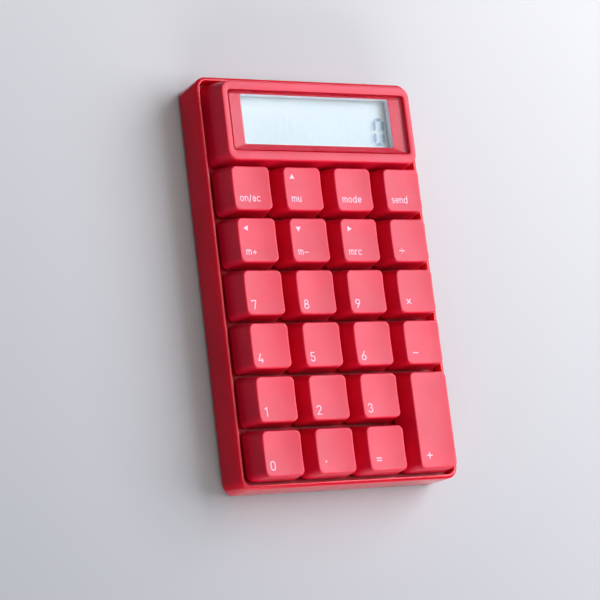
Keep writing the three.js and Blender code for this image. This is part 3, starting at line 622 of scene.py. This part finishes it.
WORDS = {  # each with the height of its foot on the face
    "key_on": ("on/ac", -4.35),
    "key_mu": ("mu", -4.35),
    "key_mode": ("mode", -4.35),
    "key_send": ("send", -4.35),
    "key_memory_add": ("m+", -4.85),
    "key_memory_subtract": ("m-", -4.85),
    "key_memory_recall": ("mrc", -4.85),
}
TRIANGLE_TURNS = {  # degrees
    "key_mu": 90,
    "key_memory_add": 180,
    "key_memory_subtract": 270,
    "key_memory_recall": 0,
}
OPERATORS = {
    "key_divide": [[(-0.98, 0), (0.98, 0)], [(0, 0.76), (0, 0.77)], [(0, -0.76), (0, -0.77)]],
    "key_multiply": [[(-0.7, -0.7), (0.7, 0.7)], [(-0.7, 0.7), (0.7, -0.7)]],
    "key_subtract": [[(-0.92, 0), (0.92, 0)]],
    "key_add": [[(-0.95, 0), (0.95, 0)], [(0, -0.95), (0, 0.95)]],
    "key_equals": [[(-0.88, 0.42), (0.88, 0.42)], [(-0.88, -0.42), (0.88, -0.42)]],
}


def stroke_faces(stroke, width):
    """A stroke's outline as small flat faces: one for each step of its line, and a round end."""
    line = [Vector(p) for p in stroke]
    sides = []
    for i, p in enumerate(line):
        before = (p - line[i - 1]).normalized() if i > 0 else None
        after = (line[i + 1] - p).normalized() if i < len(line) - 1 else None
        along = ((before or after) + (after or before)).normalized()
        across = Vector((-along.y, along.x))
        lean = max(along.dot(after or before), 0.5)
        sides.append((p + across * width / 2 / lean, p - across * width / 2 / lean))
    faces = []
    for (a, b), (c, d) in zip(sides, sides[1:]):
        faces.append([b, d, c, a])
    for end in (line[0], line[-1]):
        faces.append([end + Vector(p) for p in curve((0, 0), (width / 2, width / 2), 0, 324, 9)])
    return faces


def holds(face, point):
    """Whether a convex face holds a point."""
    turns = [(b - a).cross(point - a) for a, b in zip(face, face[1:] + face[:1])]
    return min(turns) >= 0 or max(turns) <= 0


def flat_union(faces):
    """Triangles of the area that overlapping convex faces cover, with no overlaps."""
    points = []
    loops = []
    for face in faces:
        loops.append(list(range(len(points), len(points) + len(face))))
        points += face
    flat, _, cells, *_ = geometry.delaunay_2d_cdt(points, [], loops, 1, 1e-4)
    triangles = []
    for cell in cells:
        middle = sum((flat[i] for i in cell), Vector((0.0, 0.0))) / len(cell)
        if any(holds(face, middle) for face in faces):
            triangles.append(cell)
    return flat, triangles


def ink(name, faces, height, material, body, proud=LEGEND_PROUD, depth=LEGEND_DEPTH):
    """A thin closed layer of ink over a surface whose height at (x, y) is height(x, y)."""
    flat, triangles = flat_union(faces)
    count = len(flat)
    points = [(p.x, p.y, height(p.x, p.y) + proud) for p in flat]
    points += [(p.x, p.y, height(p.x, p.y) + proud - depth) for p in flat]
    skin = [tuple(t) for t in triangles]
    skin += [tuple(i + count for i in reversed(t)) for t in triangles]
    edges = {(a, b) for t in triangles for a, b in zip(t, (*t[1:], t[0]))}
    skin += [(a, a + count, b + count, b) for a, b in sorted(edges) if (b, a) not in edges]
    piece = make_object(name, points, skin, material)
    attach(piece, body)


def moved(strokes, x, y, scale=1.0):
    return [[(a * scale + x, b * scale + y) for a, b in stroke] for stroke in strokes]


def word_strokes(word):
    strokes = []
    x = 0.0
    for letter in word:
        shapes, advance = LETTERS[letter]
        strokes += moved(shapes, x, 0.0)
        x += advance + LETTER_SPACE
    return strokes


def triangle(centre, turn_degrees):
    radii = (TRIANGLE_RADIUS, TRIANGLE_RADIUS)
    return [Vector(p) for p in curve(centre, radii, turn_degrees, turn_degrees + 240, 2)]


def legend_strokes(key):
    """A key's strokes, placed about the middle of its face, and their width."""
    digit = key.node.replace("key_", "")
    if digit in DIGITS:
        return moved(DIGITS[digit], *DIGIT_AT, DIGIT_SCALE), DIGIT_STROKE
    if key.node in WORDS:
        word, foot = WORDS[key.node]
        return moved(word_strokes(word), WORD_X, foot, LETTER_SCALE), LETTER_STROKE
    if key.node == "key_point":
        dot = [[(-POINT_HALF_LENGTH, 0.0), (POINT_HALF_LENGTH, 0.0)]]
        return moved(dot, *POINT_AT), POINT_WIDTH
    place = TALL_OPERATOR_AT if key.is_tall else OPERATOR_AT
    return moved(OPERATORS[key.node], *place), OPERATOR_STROKE


def add_legend(key):
    x, y = key.centre
    strokes, width = legend_strokes(key)
    faces = [face for stroke in moved(strokes, x, y) for face in stroke_faces(stroke, width)]
    if key.node in TRIANGLE_TURNS:
        centre = (x + TRIANGLE_AT[0], y + TRIANGLE_AT[1])
        faces.append(triangle(centre, TRIANGLE_TURNS[key.node]))
    name = key.node.replace("key_", "legend_")
    ink(name, faces, key.face_z, "ink", body_of(key.node))


def key_nodes():
    keys_and_plate = sorted(node for node in frame["nodes"] if node.startswith("key_"))
    return [node for node in keys_and_plate if node != "key_plate"]


def build_keys():
    for node in key_nodes():
        key = Keycap(node)
        key.build()
        add_legend(key)


# ---- case ----


FOOT_GAP = 0.3
FOOT_HEADROOM = 0.1
SCREW_GAP = 0.6
SCREW_RECESS_DEPTH = 1.2
COVER_GAP = 0.3
COVER_SEAT_DEPTH = 0.75
COVER_SEAT_WIDTH = 1.0
COVER_SEGMENTS = 96
RECESS_MOUTH = 0.15
SOCKET_MARGIN = 0.5
SOCKET_MOUTH_CORNER = 1.1
SOCKET_MOUTH_STEPS = ((-3, 0), (-0.25, 0), (0, 0.25), (1, 1.25))  # from the wall's face, and growth


def build_case():
    low, high = node_box("rear_case")
    floor_z = low.z + FLOOR_THICKNESS
    tray = TRAY_FLOOR_FILLET
    fillets = (  # inset and height of the arc's middle, its radius, its ends in degrees, and steps
        (CASE_BOTTOM_FILLET, low.z + CASE_BOTTOM_FILLET, CASE_BOTTOM_FILLET, 270, 180, 8),
        (RIM_OUTER_FILLET, high.z - RIM_OUTER_FILLET, RIM_OUTER_FILLET, 180, 90, 5),
        (CASE_WALL - RIM_INNER_FILLET, high.z - RIM_INNER_FILLET, RIM_INNER_FILLET, 90, 0, 3),
        (CASE_WALL + tray, floor_z + tray, tray, 180, 270, 3),
    )
    rings = []
    for fillet in fillets:
        for inset, z in arc(*fillet):
            corner = max(CASE_CORNER - inset, TRAY_LEAST_CORNER)
            outline = rounded(high.x - inset, high.y - inset, corner, corner_steps=12)
            rings.append(ring_at(outline, z))
    piece = make_object("tray", *loft(rings), "case", sharp=35)
    for node in FEET:
        foot_box = node_box(node)
        carve(piece, round_cutter(*foot_box, FOOT_GAP, low.z, foot_box[1].z + FOOT_HEADROOM))
    for node in CASE_SCREWS:
        head_box = node_box(node)
        carve(piece, round_cutter(*head_box, SCREW_GAP, low.z, low.z + SCREW_RECESS_DEPTH))
    cover_box = node_box("battery_cover")
    seat_top = low.z + COVER_SEAT_DEPTH
    carve(piece, round_cutter(*cover_box, COVER_GAP, low.z, seat_top, COVER_SEGMENTS))
    carve(piece, round_cutter(*cover_box, -COVER_SEAT_WIDTH, low.z, floor_z + 1, COVER_SEGMENTS))
    carve(piece, socket_cutter(high.y))
    settle(piece, "rear_case")


def round_cutter(low, high, gap, face_z, top_z, segments=48):
    """Cuts a round recess up from the underside, with a softened mouth."""
    radius = half_of(low, high)[0] + gap
    profile = [
        (0, face_z - 1),
        (radius + RECESS_MOUTH + 1, face_z - 1),
        (radius + RECESS_MOUTH, face_z),
        (radius, face_z + RECESS_MOUTH),
        (radius, top_z),
        (0, top_z),
    ]
    return make_object("cutter", *lathe(profile, centre_of(low, high), segments), "case")


def socket_cutter(wall_y):
    low, high = node_box("usb_socket")
    middle_z = (low.z + high.z) / 2
    half_z = (high.z - low.z) / 2 + SOCKET_MARGIN
    outline = rounded(high.x + SOCKET_MARGIN, half_z, SOCKET_MOUTH_CORNER)
    rings = []
    for out, grow in SOCKET_MOUTH_STEPS:
        y = wall_y + out
        rings.append([(p.x + n.x * grow, y, middle_z + p.y + n.y * grow) for p, n in outline])
    return make_object("cutter", *loft(rings), "case")


FOOT_FILLET = 0.45
FOOT_DISH = ((0, 0.12), (0.45, 0.1), (0.75, 0.02), (0.84, 0))  # share of the radius, and rise


def build_feet():
    for node in FEET:
        low, high = node_box(node)
        radius = half_of(low, high)[0]
        profile = [(radius * share, low.z + rise) for share, rise in FOOT_DISH]
        profile += arc(radius - FOOT_FILLET, low.z + FOOT_FILLET, FOOT_FILLET, 270, 360, 5)
        profile += [(radius, high.z), (0, high.z)]
        turned_foot = lathe(profile, centre_of(low, high), segments=48)
        settle(make_object(f"rubber_{node}", *turned_foot, "foot"), node)


SCREW_HEAD_HEIGHT = 1.0
SCREW_HEAD_FILLET = 0.45
SCREW_SHOULDER = 0.05
SCREW_CROWN = (0.55, 0.03)  # share of the head's radius, and rise
SCREW_THREADS = 11
SCREW_THREAD_START = 1.3
SCREW_PLAIN_LENGTH = 2.0
SCREW_ROOT_SHARE = 0.82  # of the shank's radius
SCREW_TIP_SHARE = 0.6
SCREW_TIP_LENGTH = 0.2
DRIVE_ARM_SHARE = 0.62  # of the head's radius
DRIVE_HALF_WIDTH = 0.27
DRIVE_DEPTH = 0.55


def screw_profile(low_z, high_z, head):
    """A pan head, then a thread of rings, for a head of that radius with its face at low_z."""
    shank = head / 2
    fillet_z = low_z + SCREW_SHOULDER + SCREW_HEAD_FILLET
    profile = [(0, low_z), (head * SCREW_CROWN[0], low_z + SCREW_CROWN[1])]
    profile += arc(head - SCREW_HEAD_FILLET, fillet_z, SCREW_HEAD_FILLET, 280, 360, 5)
    head_top = low_z + SCREW_HEAD_HEIGHT
    profile += [(head, head_top), (shank, head_top + SCREW_SHOULDER)]
    pitch = (high_z - low_z - SCREW_PLAIN_LENGTH) / SCREW_THREADS
    for turn in range(SCREW_THREADS):
        z = low_z + SCREW_THREAD_START + turn * pitch
        profile += [(shank * SCREW_ROOT_SHARE, z), (shank, z + pitch / 2)]
    profile += [(shank * SCREW_TIP_SHARE, high_z - SCREW_TIP_LENGTH), (0, high_z)]
    return profile


def build_screws():
    for node in CASE_SCREWS:
        low, high = node_box(node)
        x, y = centre_of(low, high)
        head = half_of(low, high)[0]
        turned_screw = lathe(screw_profile(low.z, high.z, head), (x, y), segments=32)
        name = node.replace("case_", "")
        piece = make_object(name, *turned_screw, "steel", sharp=30)
        arm = head * DRIVE_ARM_SHARE
        for across, along in ((arm, DRIVE_HALF_WIDTH), (DRIVE_HALF_WIDTH, arm)):
            corner_low = (x - across, y - along, low.z - 1)
            corner_high = (x + across, y + along, low.z + DRIVE_DEPTH)
            carve(piece, block(corner_low, corner_high))
        settle(piece, node)


COVER_LIP = 1.3  # the flange beyond the neck
COVER_FLANGE = 0.6
COVER_EDGE = 0.2
COVER_RIM_HEIGHT = 0.8
COVER_RIM_INSETS = (1.1, 1.6)  # of the rim's top, from the neck
COIN_SLOT_HALF = (7.5, 0.9)
COIN_SLOT_CORNER = 0.88
COIN_SLOT_DEPTH = 0.5


def build_battery_cover():
    low, high = node_box("battery_cover")
    centre = centre_of(low, high)
    radius = half_of(low, high)[0]
    neck = radius - COVER_LIP
    flange_top = low.z + COVER_FLANGE
    rim_foot = high.z - COVER_RIM_HEIGHT
    rim_outside, rim_inside = (neck - inset for inset in COVER_RIM_INSETS)
    profile = [(0, low.z), (radius - COVER_EDGE, low.z), (radius, low.z + COVER_EDGE)]
    profile += [(radius, flange_top), (neck, flange_top), (neck, rim_foot)]
    profile += [(rim_outside, high.z), (rim_inside, high.z), (rim_inside, rim_foot), (0, rim_foot)]
    disc = lathe(profile, centre, COVER_SEGMENTS)
    piece = make_object("coin_slot_cover", *disc, "case", sharp=35)
    slot = rounded(*COIN_SLOT_HALF, COIN_SLOT_CORNER, centre, corner_steps=8)
    rings = [ring_at(slot, low.z - 1), ring_at(slot, low.z + COIN_SLOT_DEPTH)]
    carve(piece, make_object("cutter", *loft(rings), "case"))
    settle(piece, "battery_cover")


SHELL_CORNER = 0.7
SHELL_WALL = 0.35
SHELL_EDGE = 0.1
SHELL_DEPTH = 6.0
TONGUE_HALF = (2.6, 0.35)
TONGUE_SETBACKS = (6.2, 1.0)  # of its two ends from the socket's mouth
CONTACT_COUNT = 5
CONTACT_PITCH = 0.8
CONTACT_HALF_WIDTH = 0.15
CONTACT_HEIGHTS = (-0.42, -0.3)  # from the socket's middle
CONTACT_SETBACKS = (5.8, 1.3)
SMALL_BOX_EDGE = 0.06


def build_socket():
    """A folded shell with rounded corners, its tongue and five contacts."""
    low, high = node_box("usb_socket")
    mouth = high.y
    middle_z = (low.z + high.z) / 2
    shell = rounded(high.x, (high.z - low.z) / 2, SHELL_CORNER)
    steps = (  # y and inset
        (low.y, 0),
        (mouth - SHELL_EDGE, 0),
        (mouth, SHELL_EDGE),
        (mouth, SHELL_WALL - SHELL_EDGE),
        (mouth - SHELL_EDGE, SHELL_WALL),
        (mouth - SHELL_DEPTH, SHELL_WALL),
    )
    rings = []
    for y, inset in steps:
        rings.append([(p.x - n.x * inset, y, middle_z + p.y - n.y * inset) for p, n in shell])
    piece = make_object("inlet_shell", *loft(rings), "steel", sharp=35)
    settle(piece, "usb_socket")
    inner_end, outer_end = (mouth - setback for setback in TONGUE_SETBACKS)
    half_x, half_z = TONGUE_HALF
    tongue_low = (-half_x, inner_end, middle_z - half_z)
    tongue_high = (half_x, outer_end, middle_z + half_z)
    tongue = make_box("inlet_tongue", tongue_low, tongue_high, "black")
    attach(tongue, body_of("usb_socket"))
    low_z, high_z = (middle_z + height for height in CONTACT_HEIGHTS)
    inner_end, outer_end = (mouth - setback for setback in CONTACT_SETBACKS)
    for i in range(CONTACT_COUNT):
        x = (i - (CONTACT_COUNT - 1) / 2) * CONTACT_PITCH
        pin_low = (x - CONTACT_HALF_WIDTH, inner_end, low_z)
        pin_high = (x + CONTACT_HALF_WIDTH, outer_end, high_z)
        pin = make_box(f"inlet_contact_{i + 1}", pin_low, pin_high, "brass")
        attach(pin, body_of("usb_socket"))


def make_box(name, low, high, material):
    """A small box with softened edges along its length in Y."""
    centre = ((low[0] + high[0]) / 2, (low[2] + high[2]) / 2)
    half = ((high[0] - low[0]) / 2, (high[2] - low[2]) / 2)
    outline = rounded(*half, SMALL_BOX_EDGE, corner_steps=3)
    rings = [[(centre[0] + p.x, y, centre[1] + p.y) for p, _ in outline] for y in (low[1], high[1])]
    return make_object(name, *loft(rings), material)


# ---- display ----


def build_display_housing():
    low, high = node_box("display_housing")
    base_centre = centre_of(low, high)
    base_half = half_of(low, high)
    face_centre = (base_centre[0], base_centre[1] - (BLOCK_BACK_DRAFT - BLOCK_FRONT_DRAFT) / 2)
    face_half = (
        base_half[0] - BLOCK_SIDE_DRAFT,
        base_half[1] - (BLOCK_BACK_DRAFT + BLOCK_FRONT_DRAFT) / 2,
    )
    lens_box = node_box("display_lens")
    lens_centre = centre_of(*lens_box)
    lens_half = half_of(*lens_box)
    panel_centre = centre_of(*node_box("lcd_panel"))
    window_centre = (panel_centre[0], panel_centre[1] + WINDOW_SHIFT_Y)
    seat_z = high.z - LENS_SEAT_DEPTH
    frame_z = high.z - FRAME_DEPTH
    ceiling_z = high.z - FRAME_FOOT_DEPTH
    edge = MOUTH_EDGE

    def ring(half, radius, centre, z, grow=0.0):
        corner = max(radius + grow, LEAST_CORNER)
        outline = rounded(half[0] + grow, half[1] + grow, corner, centre, 9, (12, 6))
        return ring_at(outline, z)

    recess = (lens_half[0] + LENS_GAP, lens_half[1] + LENS_GAP)
    well = (recess[0] - LENS_SEAT_WIDTH, recess[1] - LENS_SEAT_WIDTH)
    window = (WINDOW_WIDTH / 2, WINDOW_HEIGHT / 2)
    inner_face = (face_half[0] - BLOCK_WALL, face_half[1] - BLOCK_WALL)
    inner_base = (base_half[0] - BLOCK_WALL, base_half[1] - BLOCK_WALL)
    rings = [ring(base_half, BLOCK_CORNER, base_centre, low.z)]
    for degrees in reversed(FILLET_DEGREES):
        out = BLOCK_FILLET * (math.sin(math.radians(degrees)) - 0.5)
        z = high.z - BLOCK_FILLET * (1 - math.cos(math.radians(degrees)))
        rings.append(ring(face_half, BLOCK_CORNER, face_centre, z, out))
    rings += [
        ring(recess, RECESS_CORNER, lens_centre, high.z, edge),
        ring(recess, RECESS_CORNER, lens_centre, high.z - edge / 3, edge / 3),
        ring(recess, RECESS_CORNER, lens_centre, high.z - edge),
        ring(recess, RECESS_CORNER, lens_centre, seat_z),
        ring(well, WELL_CORNER, lens_centre, seat_z, edge),
        ring(well, WELL_CORNER, lens_centre, seat_z - edge),
        ring(window, WINDOW_CORNER, window_centre, frame_z, edge),
        ring(window, WINDOW_CORNER, window_centre, frame_z - edge),
        ring(window, WINDOW_CORNER, window_centre, ceiling_z),
        ring(inner_face, BLOCK_INNER_CORNER, face_centre, ceiling_z),
        ring(inner_base, BLOCK_INNER_CORNER, base_centre, low.z),
    ]
    piece = make_object("display_surround", *loft(rings, ends="loop"), "key")
    piece.data.materials.append(materials["collar"])
    for polygon in piece.data.polygons:
        middle = polygon.center / MM
        in_x = abs(middle.x - window_centre[0]) < window[0] + edge / 2
        in_y = abs(middle.y - window_centre[1]) < window[1] + edge / 2
        if in_x and in_y and ceiling_z < middle.z < frame_z - edge:
            polygon.material_index = 1
    settle(piece, "display_housing")


LENS_CLEAR_SLOPE = 0.9  # the lens is clear where its normal is steeper, and painted elsewhere


def build_lens():
    low, high = node_box("display_lens")
    centre = centre_of(low, high)
    half = half_of(low, high)
    edge = MOUTH_EDGE
    rings = []
    for inset, z in ((edge, low.z), (0, low.z + edge), (0, high.z - edge), (edge, high.z)):
        outline = rounded(half[0] - inset, half[1] - inset, LENS_CORNER, centre, corner_steps=8)
        rings.append(ring_at(outline, z))
    piece = make_object("display_window", *loft(rings), "lens", sharp=25)
    piece.data.materials.append(materials["case"])
    for polygon in piece.data.polygons:
        if abs(polygon.normal.z) < LENS_CLEAR_SLOPE:
            polygon.material_index = 1
    settle(piece, "display_lens")


DIGIT_COUNT = 10
SEGMENT_WIDTH = 1.2
SEGMENT_GAP = 0.3
SEGMENT_ROOT = 0.03  # into the layer below
SEGMENT_PAINTED_SHADOW = (-1.15, -0.35)  # how far a shown segment's painted shadow is shifted on the layer below
NUMERAL_WIDTH = 3.3
NUMERAL_HEIGHT = 8.8
NUMERAL_PITCH = 5.4
NUMERAL_FOOT = 2.1  # above the window's edge
NUMERAL_SIDE = 1.7  # from the window's edge to the last numeral
NUMERAL_LEAN = 0.07


def segment_faces(x, y, which):
    """Some of a seven-segment numeral's bars, with pointed ends. which holds letters a to g."""
    half = NUMERAL_HEIGHT / 2
    corners = {
        "a": ((0, 2 * half), (NUMERAL_WIDTH, 2 * half)),
        "b": ((NUMERAL_WIDTH, 2 * half), (NUMERAL_WIDTH, half)),
        "c": ((NUMERAL_WIDTH, half), (NUMERAL_WIDTH, 0)),
        "d": ((0, 0), (NUMERAL_WIDTH, 0)),
        "e": ((0, half), (0, 0)),
        "f": ((0, 2 * half), (0, half)),
        "g": ((0, half), (NUMERAL_WIDTH, half)),
    }
    faces = []
    for letter in which:
        start, end = (Vector(p) for p in corners[letter])
        along = (end - start).normalized()
        across = Vector((-along.y, along.x)) * SEGMENT_WIDTH / 2
        start += along * SEGMENT_GAP
        end -= along * SEGMENT_GAP
        shoulder = along * SEGMENT_WIDTH / 2
        bar = [start, start + shoulder - across, end - shoulder - across, end]
        bar += [end - shoulder + across, start + shoulder + across]
        faces.append([Vector((x + p.x + p.y * NUMERAL_LEAN, y + p.y)) for p in bar])
    return faces


PANEL_GLASS = 0.9  # above the layer that shows the numerals
PANEL_MARGIN = 0.3  # of the clear area beyond the window
PANEL_CORNER = 0.2


def build_panel():
    low, high = node_box("lcd_panel")
    centre = centre_of(low, high)
    seen_centre = (centre[0], centre[1] + WINDOW_SHIFT_Y)
    seen_half = (WINDOW_WIDTH / 2 + PANEL_MARGIN, WINDOW_HEIGHT / 2 + PANEL_MARGIN)
    seen = rounded(*seen_half, WINDOW_CORNER, seen_centre)
    outside = rounded(*half_of(low, high), PANEL_CORNER, centre)
    rings = [
        ring_at(outside, low.z),
        ring_at(outside, high.z),
        ring_at(seen, high.z),
        ring_at(seen, high.z - PANEL_GLASS),
    ]
    piece = make_object("display_panel", *loft(rings), "lcd", sharp=30)
    settle(piece, "lcd_panel")


def build_numerals():
    """Nine unlit numerals and the middle bar of the last one, and a lit nought with a painted
    shadow: a paler copy of it, shifted.
    """
    low, high = node_box("lcd_panel")
    right = WINDOW_WIDTH / 2 - NUMERAL_SIDE - NUMERAL_WIDTH
    y = (low.y + high.y) / 2 + WINDOW_SHIFT_Y - WINDOW_HEIGHT / 2 + NUMERAL_FOOT

    def level(_x, _y):
        return high.z - PANEL_GLASS

    ghosts = []
    for place in range(1, DIGIT_COUNT):
        ghosts += segment_faces(right - place * NUMERAL_PITCH, y, "abcdefg")
    ghosts += segment_faces(right, y, "g")
    shown = segment_faces(right, y, "abcdef")
    # painted shadow: the nought's segments copied and shifted away from the light
    painted_shadow_shift = Vector(SEGMENT_PAINTED_SHADOW)
    shaded = [[p + painted_shadow_shift for p in face] for face in shown]
    layers = (  # each a little higher than the one before
        ("display_ghosts", ghosts, "ghost", 0.02),
        ("display_zero_shade", shaded, "segment_shade", 0.03),
        ("display_zero", shown, "segment", 0.04),
    )
    for name, faces, material, proud in layers:
        depth = proud + SEGMENT_ROOT
        ink(name, faces, level, material, "case", proud, depth)


# ---- rubber domes ----

SHEET_THICKNESS = 0.6
DOME_FOOT_RADIUS = 3.4
DOME_TOP_RADIUS = 1.8
DOME_WALL = 0.5
DOME_ROOF = 0.8
DOME_SHOULDER = (0.2, 0.4)  # out from the top's edge, and down from it
DOME_TOP_FILLET = 0.25
SHEET_CORNER = 1.0
BOSS_HOLE_RADIUS = 3.0


def hole_cutter(centre, radius, low_z, high_z):
    profile = [(0, low_z), (radius, low_z), (radius, high_z), (0, high_z)]
    return make_object("cutter", *lathe(profile, centre, segments=24), "dome")


def dome_profile(foot_z, top_z):
    """A hollow dome's inside, from its roof to its foot, and then its outside."""
    hollow_top = top_z - DOME_ROOF
    shoulder_out, shoulder_down = DOME_SHOULDER
    profile = [(0, hollow_top), (DOME_TOP_RADIUS - DOME_WALL, hollow_top)]
    profile += [(DOME_FOOT_RADIUS - DOME_WALL, foot_z), (DOME_FOOT_RADIUS, foot_z)]
    profile += [(DOME_TOP_RADIUS + shoulder_out, top_z - shoulder_down)]
    fillet_middle = (DOME_TOP_RADIUS - DOME_TOP_FILLET, top_z - DOME_TOP_FILLET)
    profile += arc(*fillet_middle, DOME_TOP_FILLET, 0, 90, 4)
    profile += [(0, top_z)]
    return profile


def build_domes():
    """The rubber sheet, and under every key a hollow dome in its resting shape."""
    low, high = node_box("dome_sheet")
    sheet_top = low.z + SHEET_THICKNESS
    outline = rounded(*half_of(low, high), SHEET_CORNER, centre_of(low, high))
    rings = [ring_at(outline, low.z), ring_at(outline, sheet_top)]
    sheet = make_object("dome_base", *loft(rings), "dome", sharp=30)
    holes = []
    for node in CASE_SCREWS:
        holes.append((centre_of(*node_box(node)), BOSS_HOLE_RADIUS))
    for node in key_nodes():
        holes.append((Keycap(node).base_centre, DOME_FOOT_RADIUS - DOME_WALL))
    for centre, radius in holes:
        carve(sheet, hole_cutter(centre, radius, low.z - 1, sheet_top + 1))
    for node in key_nodes():
        centre = Keycap(node).base_centre
        skin = lathe(dome_profile(sheet_top, high.z), centre, segments=32)
        dome = make_object(node.replace("key_", "dome_"), *skin, "dome")
        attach(dome, body_of("dome_sheet"))
        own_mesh(dome)
    settle(sheet, "dome_sheet")


# ---- pieces whose CAD shape is kept ----

KEPT = {
    "plate": ("key_plate",),
    "board": ("main_board",),
    "black": ("controller_chip", "battery_holder", "lcd_holder"),
    "steel": ("crystal", "coin_cell", "add_key_wire", "block_screw_1", "block_screw_2"),
    "brass": ("battery_contact_negative", "battery_contact_positive"),
    "flex": ("lcd_flex",),
}


def dress_kept_nodes():
    for material, nodes in KEPT.items():
        for node in nodes:
            mesh = frame["nodes"][node].data
            mesh.materials.clear()
            mesh.materials.append(materials[material])


# ---- camera, floor and light ----

CAMERA_LENS = 127.7
CAMERA_DISTANCE = 690.7
CAMERA_AZIMUTH = -156.7  # direction from the aim to the camera, in degrees from +X
CAMERA_ELEVATION = 59.27
CAMERA_ROLL = 6.95
CAMERA_AIM = (-16.0, -9.3, 23.3)

SOFTBOX_DISTANCE = 1.3  # metres
SOFTBOXES = (  # azimuth and elevation in degrees, size in metres, radiance and colour
    ("window_light", 15.0, 46.0, (1.35, 1.0), 5.4, (0.94, 0.95, 1.08)),
    ("overhead_light", 0.0, 88.0, (1.2, 1.0), 1.2, (1.0, 1.0, 1.0)),
    ("front_fill", -95.0, 22.0, (1.4, 0.7), 3.6, (1.0, 0.98, 1.0)),
)
ROOM_COLOUR = (0.78, 0.83, 0.95, 1)
ROOM_STRENGTH = 0.08
FLOOR_HALF_SIZE = 3000.0  # millimetres
# the floor's colour holds a painted light falloff, from painted shade at the near left to the pale
# far right
FLOOR_PAINTED_SHADE = (0.41, 0.42, 0.43, 1)
FLOOR_PALE = (0.70, 0.70, 0.67, 1)
FLOOR_PAINTED_FALLOFF = (-0.18, 0.16)  # metres from the middle of the desk, where the painted light falloff starts and ends
FLOOR_FALLOFF_TURN_DEGREES = -58


def direction(azimuth, elevation):
    a = math.radians(azimuth)
    e = math.radians(elevation)
    return Vector((math.cos(e) * math.cos(a), math.cos(e) * math.sin(a), math.sin(e)))


def turned(position, forward, upright, roll_degrees=0.0):
    """A matrix at position that looks along forward, leaning over by roll_degrees."""
    right = forward.cross(upright).normalized()
    up = right.cross(forward)
    roll = math.radians(roll_degrees)
    up = up * math.cos(roll) + right * math.sin(roll)
    right = forward.cross(up)
    matrix = Matrix((right, up, -forward)).transposed().to_4x4()
    matrix.translation = position
    return matrix


def build_camera():
    camera = bpy.data.cameras.new("camera")
    camera.lens = CAMERA_LENS
    camera.clip_start = 0.01
    camera.clip_end = 20.0
    holder = put_in_scene("camera", camera)
    away = direction(CAMERA_AZIMUTH, CAMERA_ELEVATION)
    aim = Vector(CAMERA_AIM) * MM
    place = aim + away * CAMERA_DISTANCE * MM
    holder.matrix_world = turned(place, -away, Vector((0, 1, 0)), CAMERA_ROLL)
    bpy.context.scene.camera = holder


def softbox(name, azimuth, elevation, size, radiance, colour):
    """A flat light at SOFTBOX_DISTANCE from the object, facing it. size is in metres."""
    light = bpy.data.lights.new(name, "AREA")
    light.shape = "RECTANGLE"
    light.size, light.size_y = size
    light.energy = radiance * math.pi * size[0] * size[1]
    light.color = colour
    holder = put_in_scene(name, light)
    away = direction(azimuth, elevation)
    holder.matrix_world = turned(away * SOFTBOX_DISTANCE, -away, Vector((0, 0, 1)))


def floor_material():
    """Pale board with a painted light falloff: painted shade makes it darker towards its near left.
    """
    ground = Nodes("pale_floor")
    place = ground.node("ShaderNodeTexCoord")
    lay = ground.node("ShaderNodeMapping")
    lay.inputs["Rotation"].default_value = (0, 0, math.radians(FLOOR_FALLOFF_TURN_DEGREES))
    ground.link(place, "Object", lay, "Vector")
    split = ground.node("ShaderNodeSeparateXYZ")
    ground.link(lay, "Vector", split, "Vector")
    reach = ground.node("ShaderNodeMapRange")
    reach.inputs["From Min"].default_value = FLOOR_PAINTED_FALLOFF[0]
    reach.inputs["From Max"].default_value = FLOOR_PAINTED_FALLOFF[1]
    ground.link(split, "X", reach, "Value")
    # painted light falloff: painted shade at one end, the pale lit floor at the other
    ramp = ground.node("ShaderNodeValToRGB")
    ramp.color_ramp.elements[0].color = FLOOR_PAINTED_SHADE
    ramp.color_ramp.elements[1].color = FLOOR_PALE
    ground.link(reach, "Result", ramp, "Fac")
    ground.link(ramp, "Color", ground.shader, "Base Color")
    ground.set(Roughness=0.9, Specular_IOR_Level=0.1)
    return ground.material


def build_floor():
    """The part left of the case stays out of reflections, which keeps that side deep red."""
    size = FLOOR_HALF_SIZE
    edge = node_box("rear_case")[0].x
    materials["floor"] = floor_material()
    for name, low_x, high_x in (("floor_left", -size, edge), ("floor", edge, size)):
        points = [(low_x, -size, 0), (high_x, -size, 0), (high_x, size, 0), (low_x, size, 0)]
        floor = make_object(name, points, [(0, 1, 2, 3)], "floor")
        floor.visible_glossy = name == "floor"


def build_studio():
    build_floor()
    for settings in SOFTBOXES:
        softbox(*settings)
    world = bpy.data.worlds.new("room")
    world.use_nodes = True
    backdrop = world.node_tree.nodes["Background"]
    backdrop.inputs["Color"].default_value = ROOM_COLOUR
    backdrop.inputs["Strength"].default_value = ROOM_STRENGTH
    bpy.context.scene.world = world
    bpy.context.scene.view_settings.view_transform = "Standard"


# ---- the whole ----

build_camera()
build_studio()
build_keys()
build_case()
build_feet()
build_screws()
build_battery_cover()
build_socket()
build_display_housing()
build_lens()
build_panel()
build_numerals()
build_domes()
dress_kept_nodes()
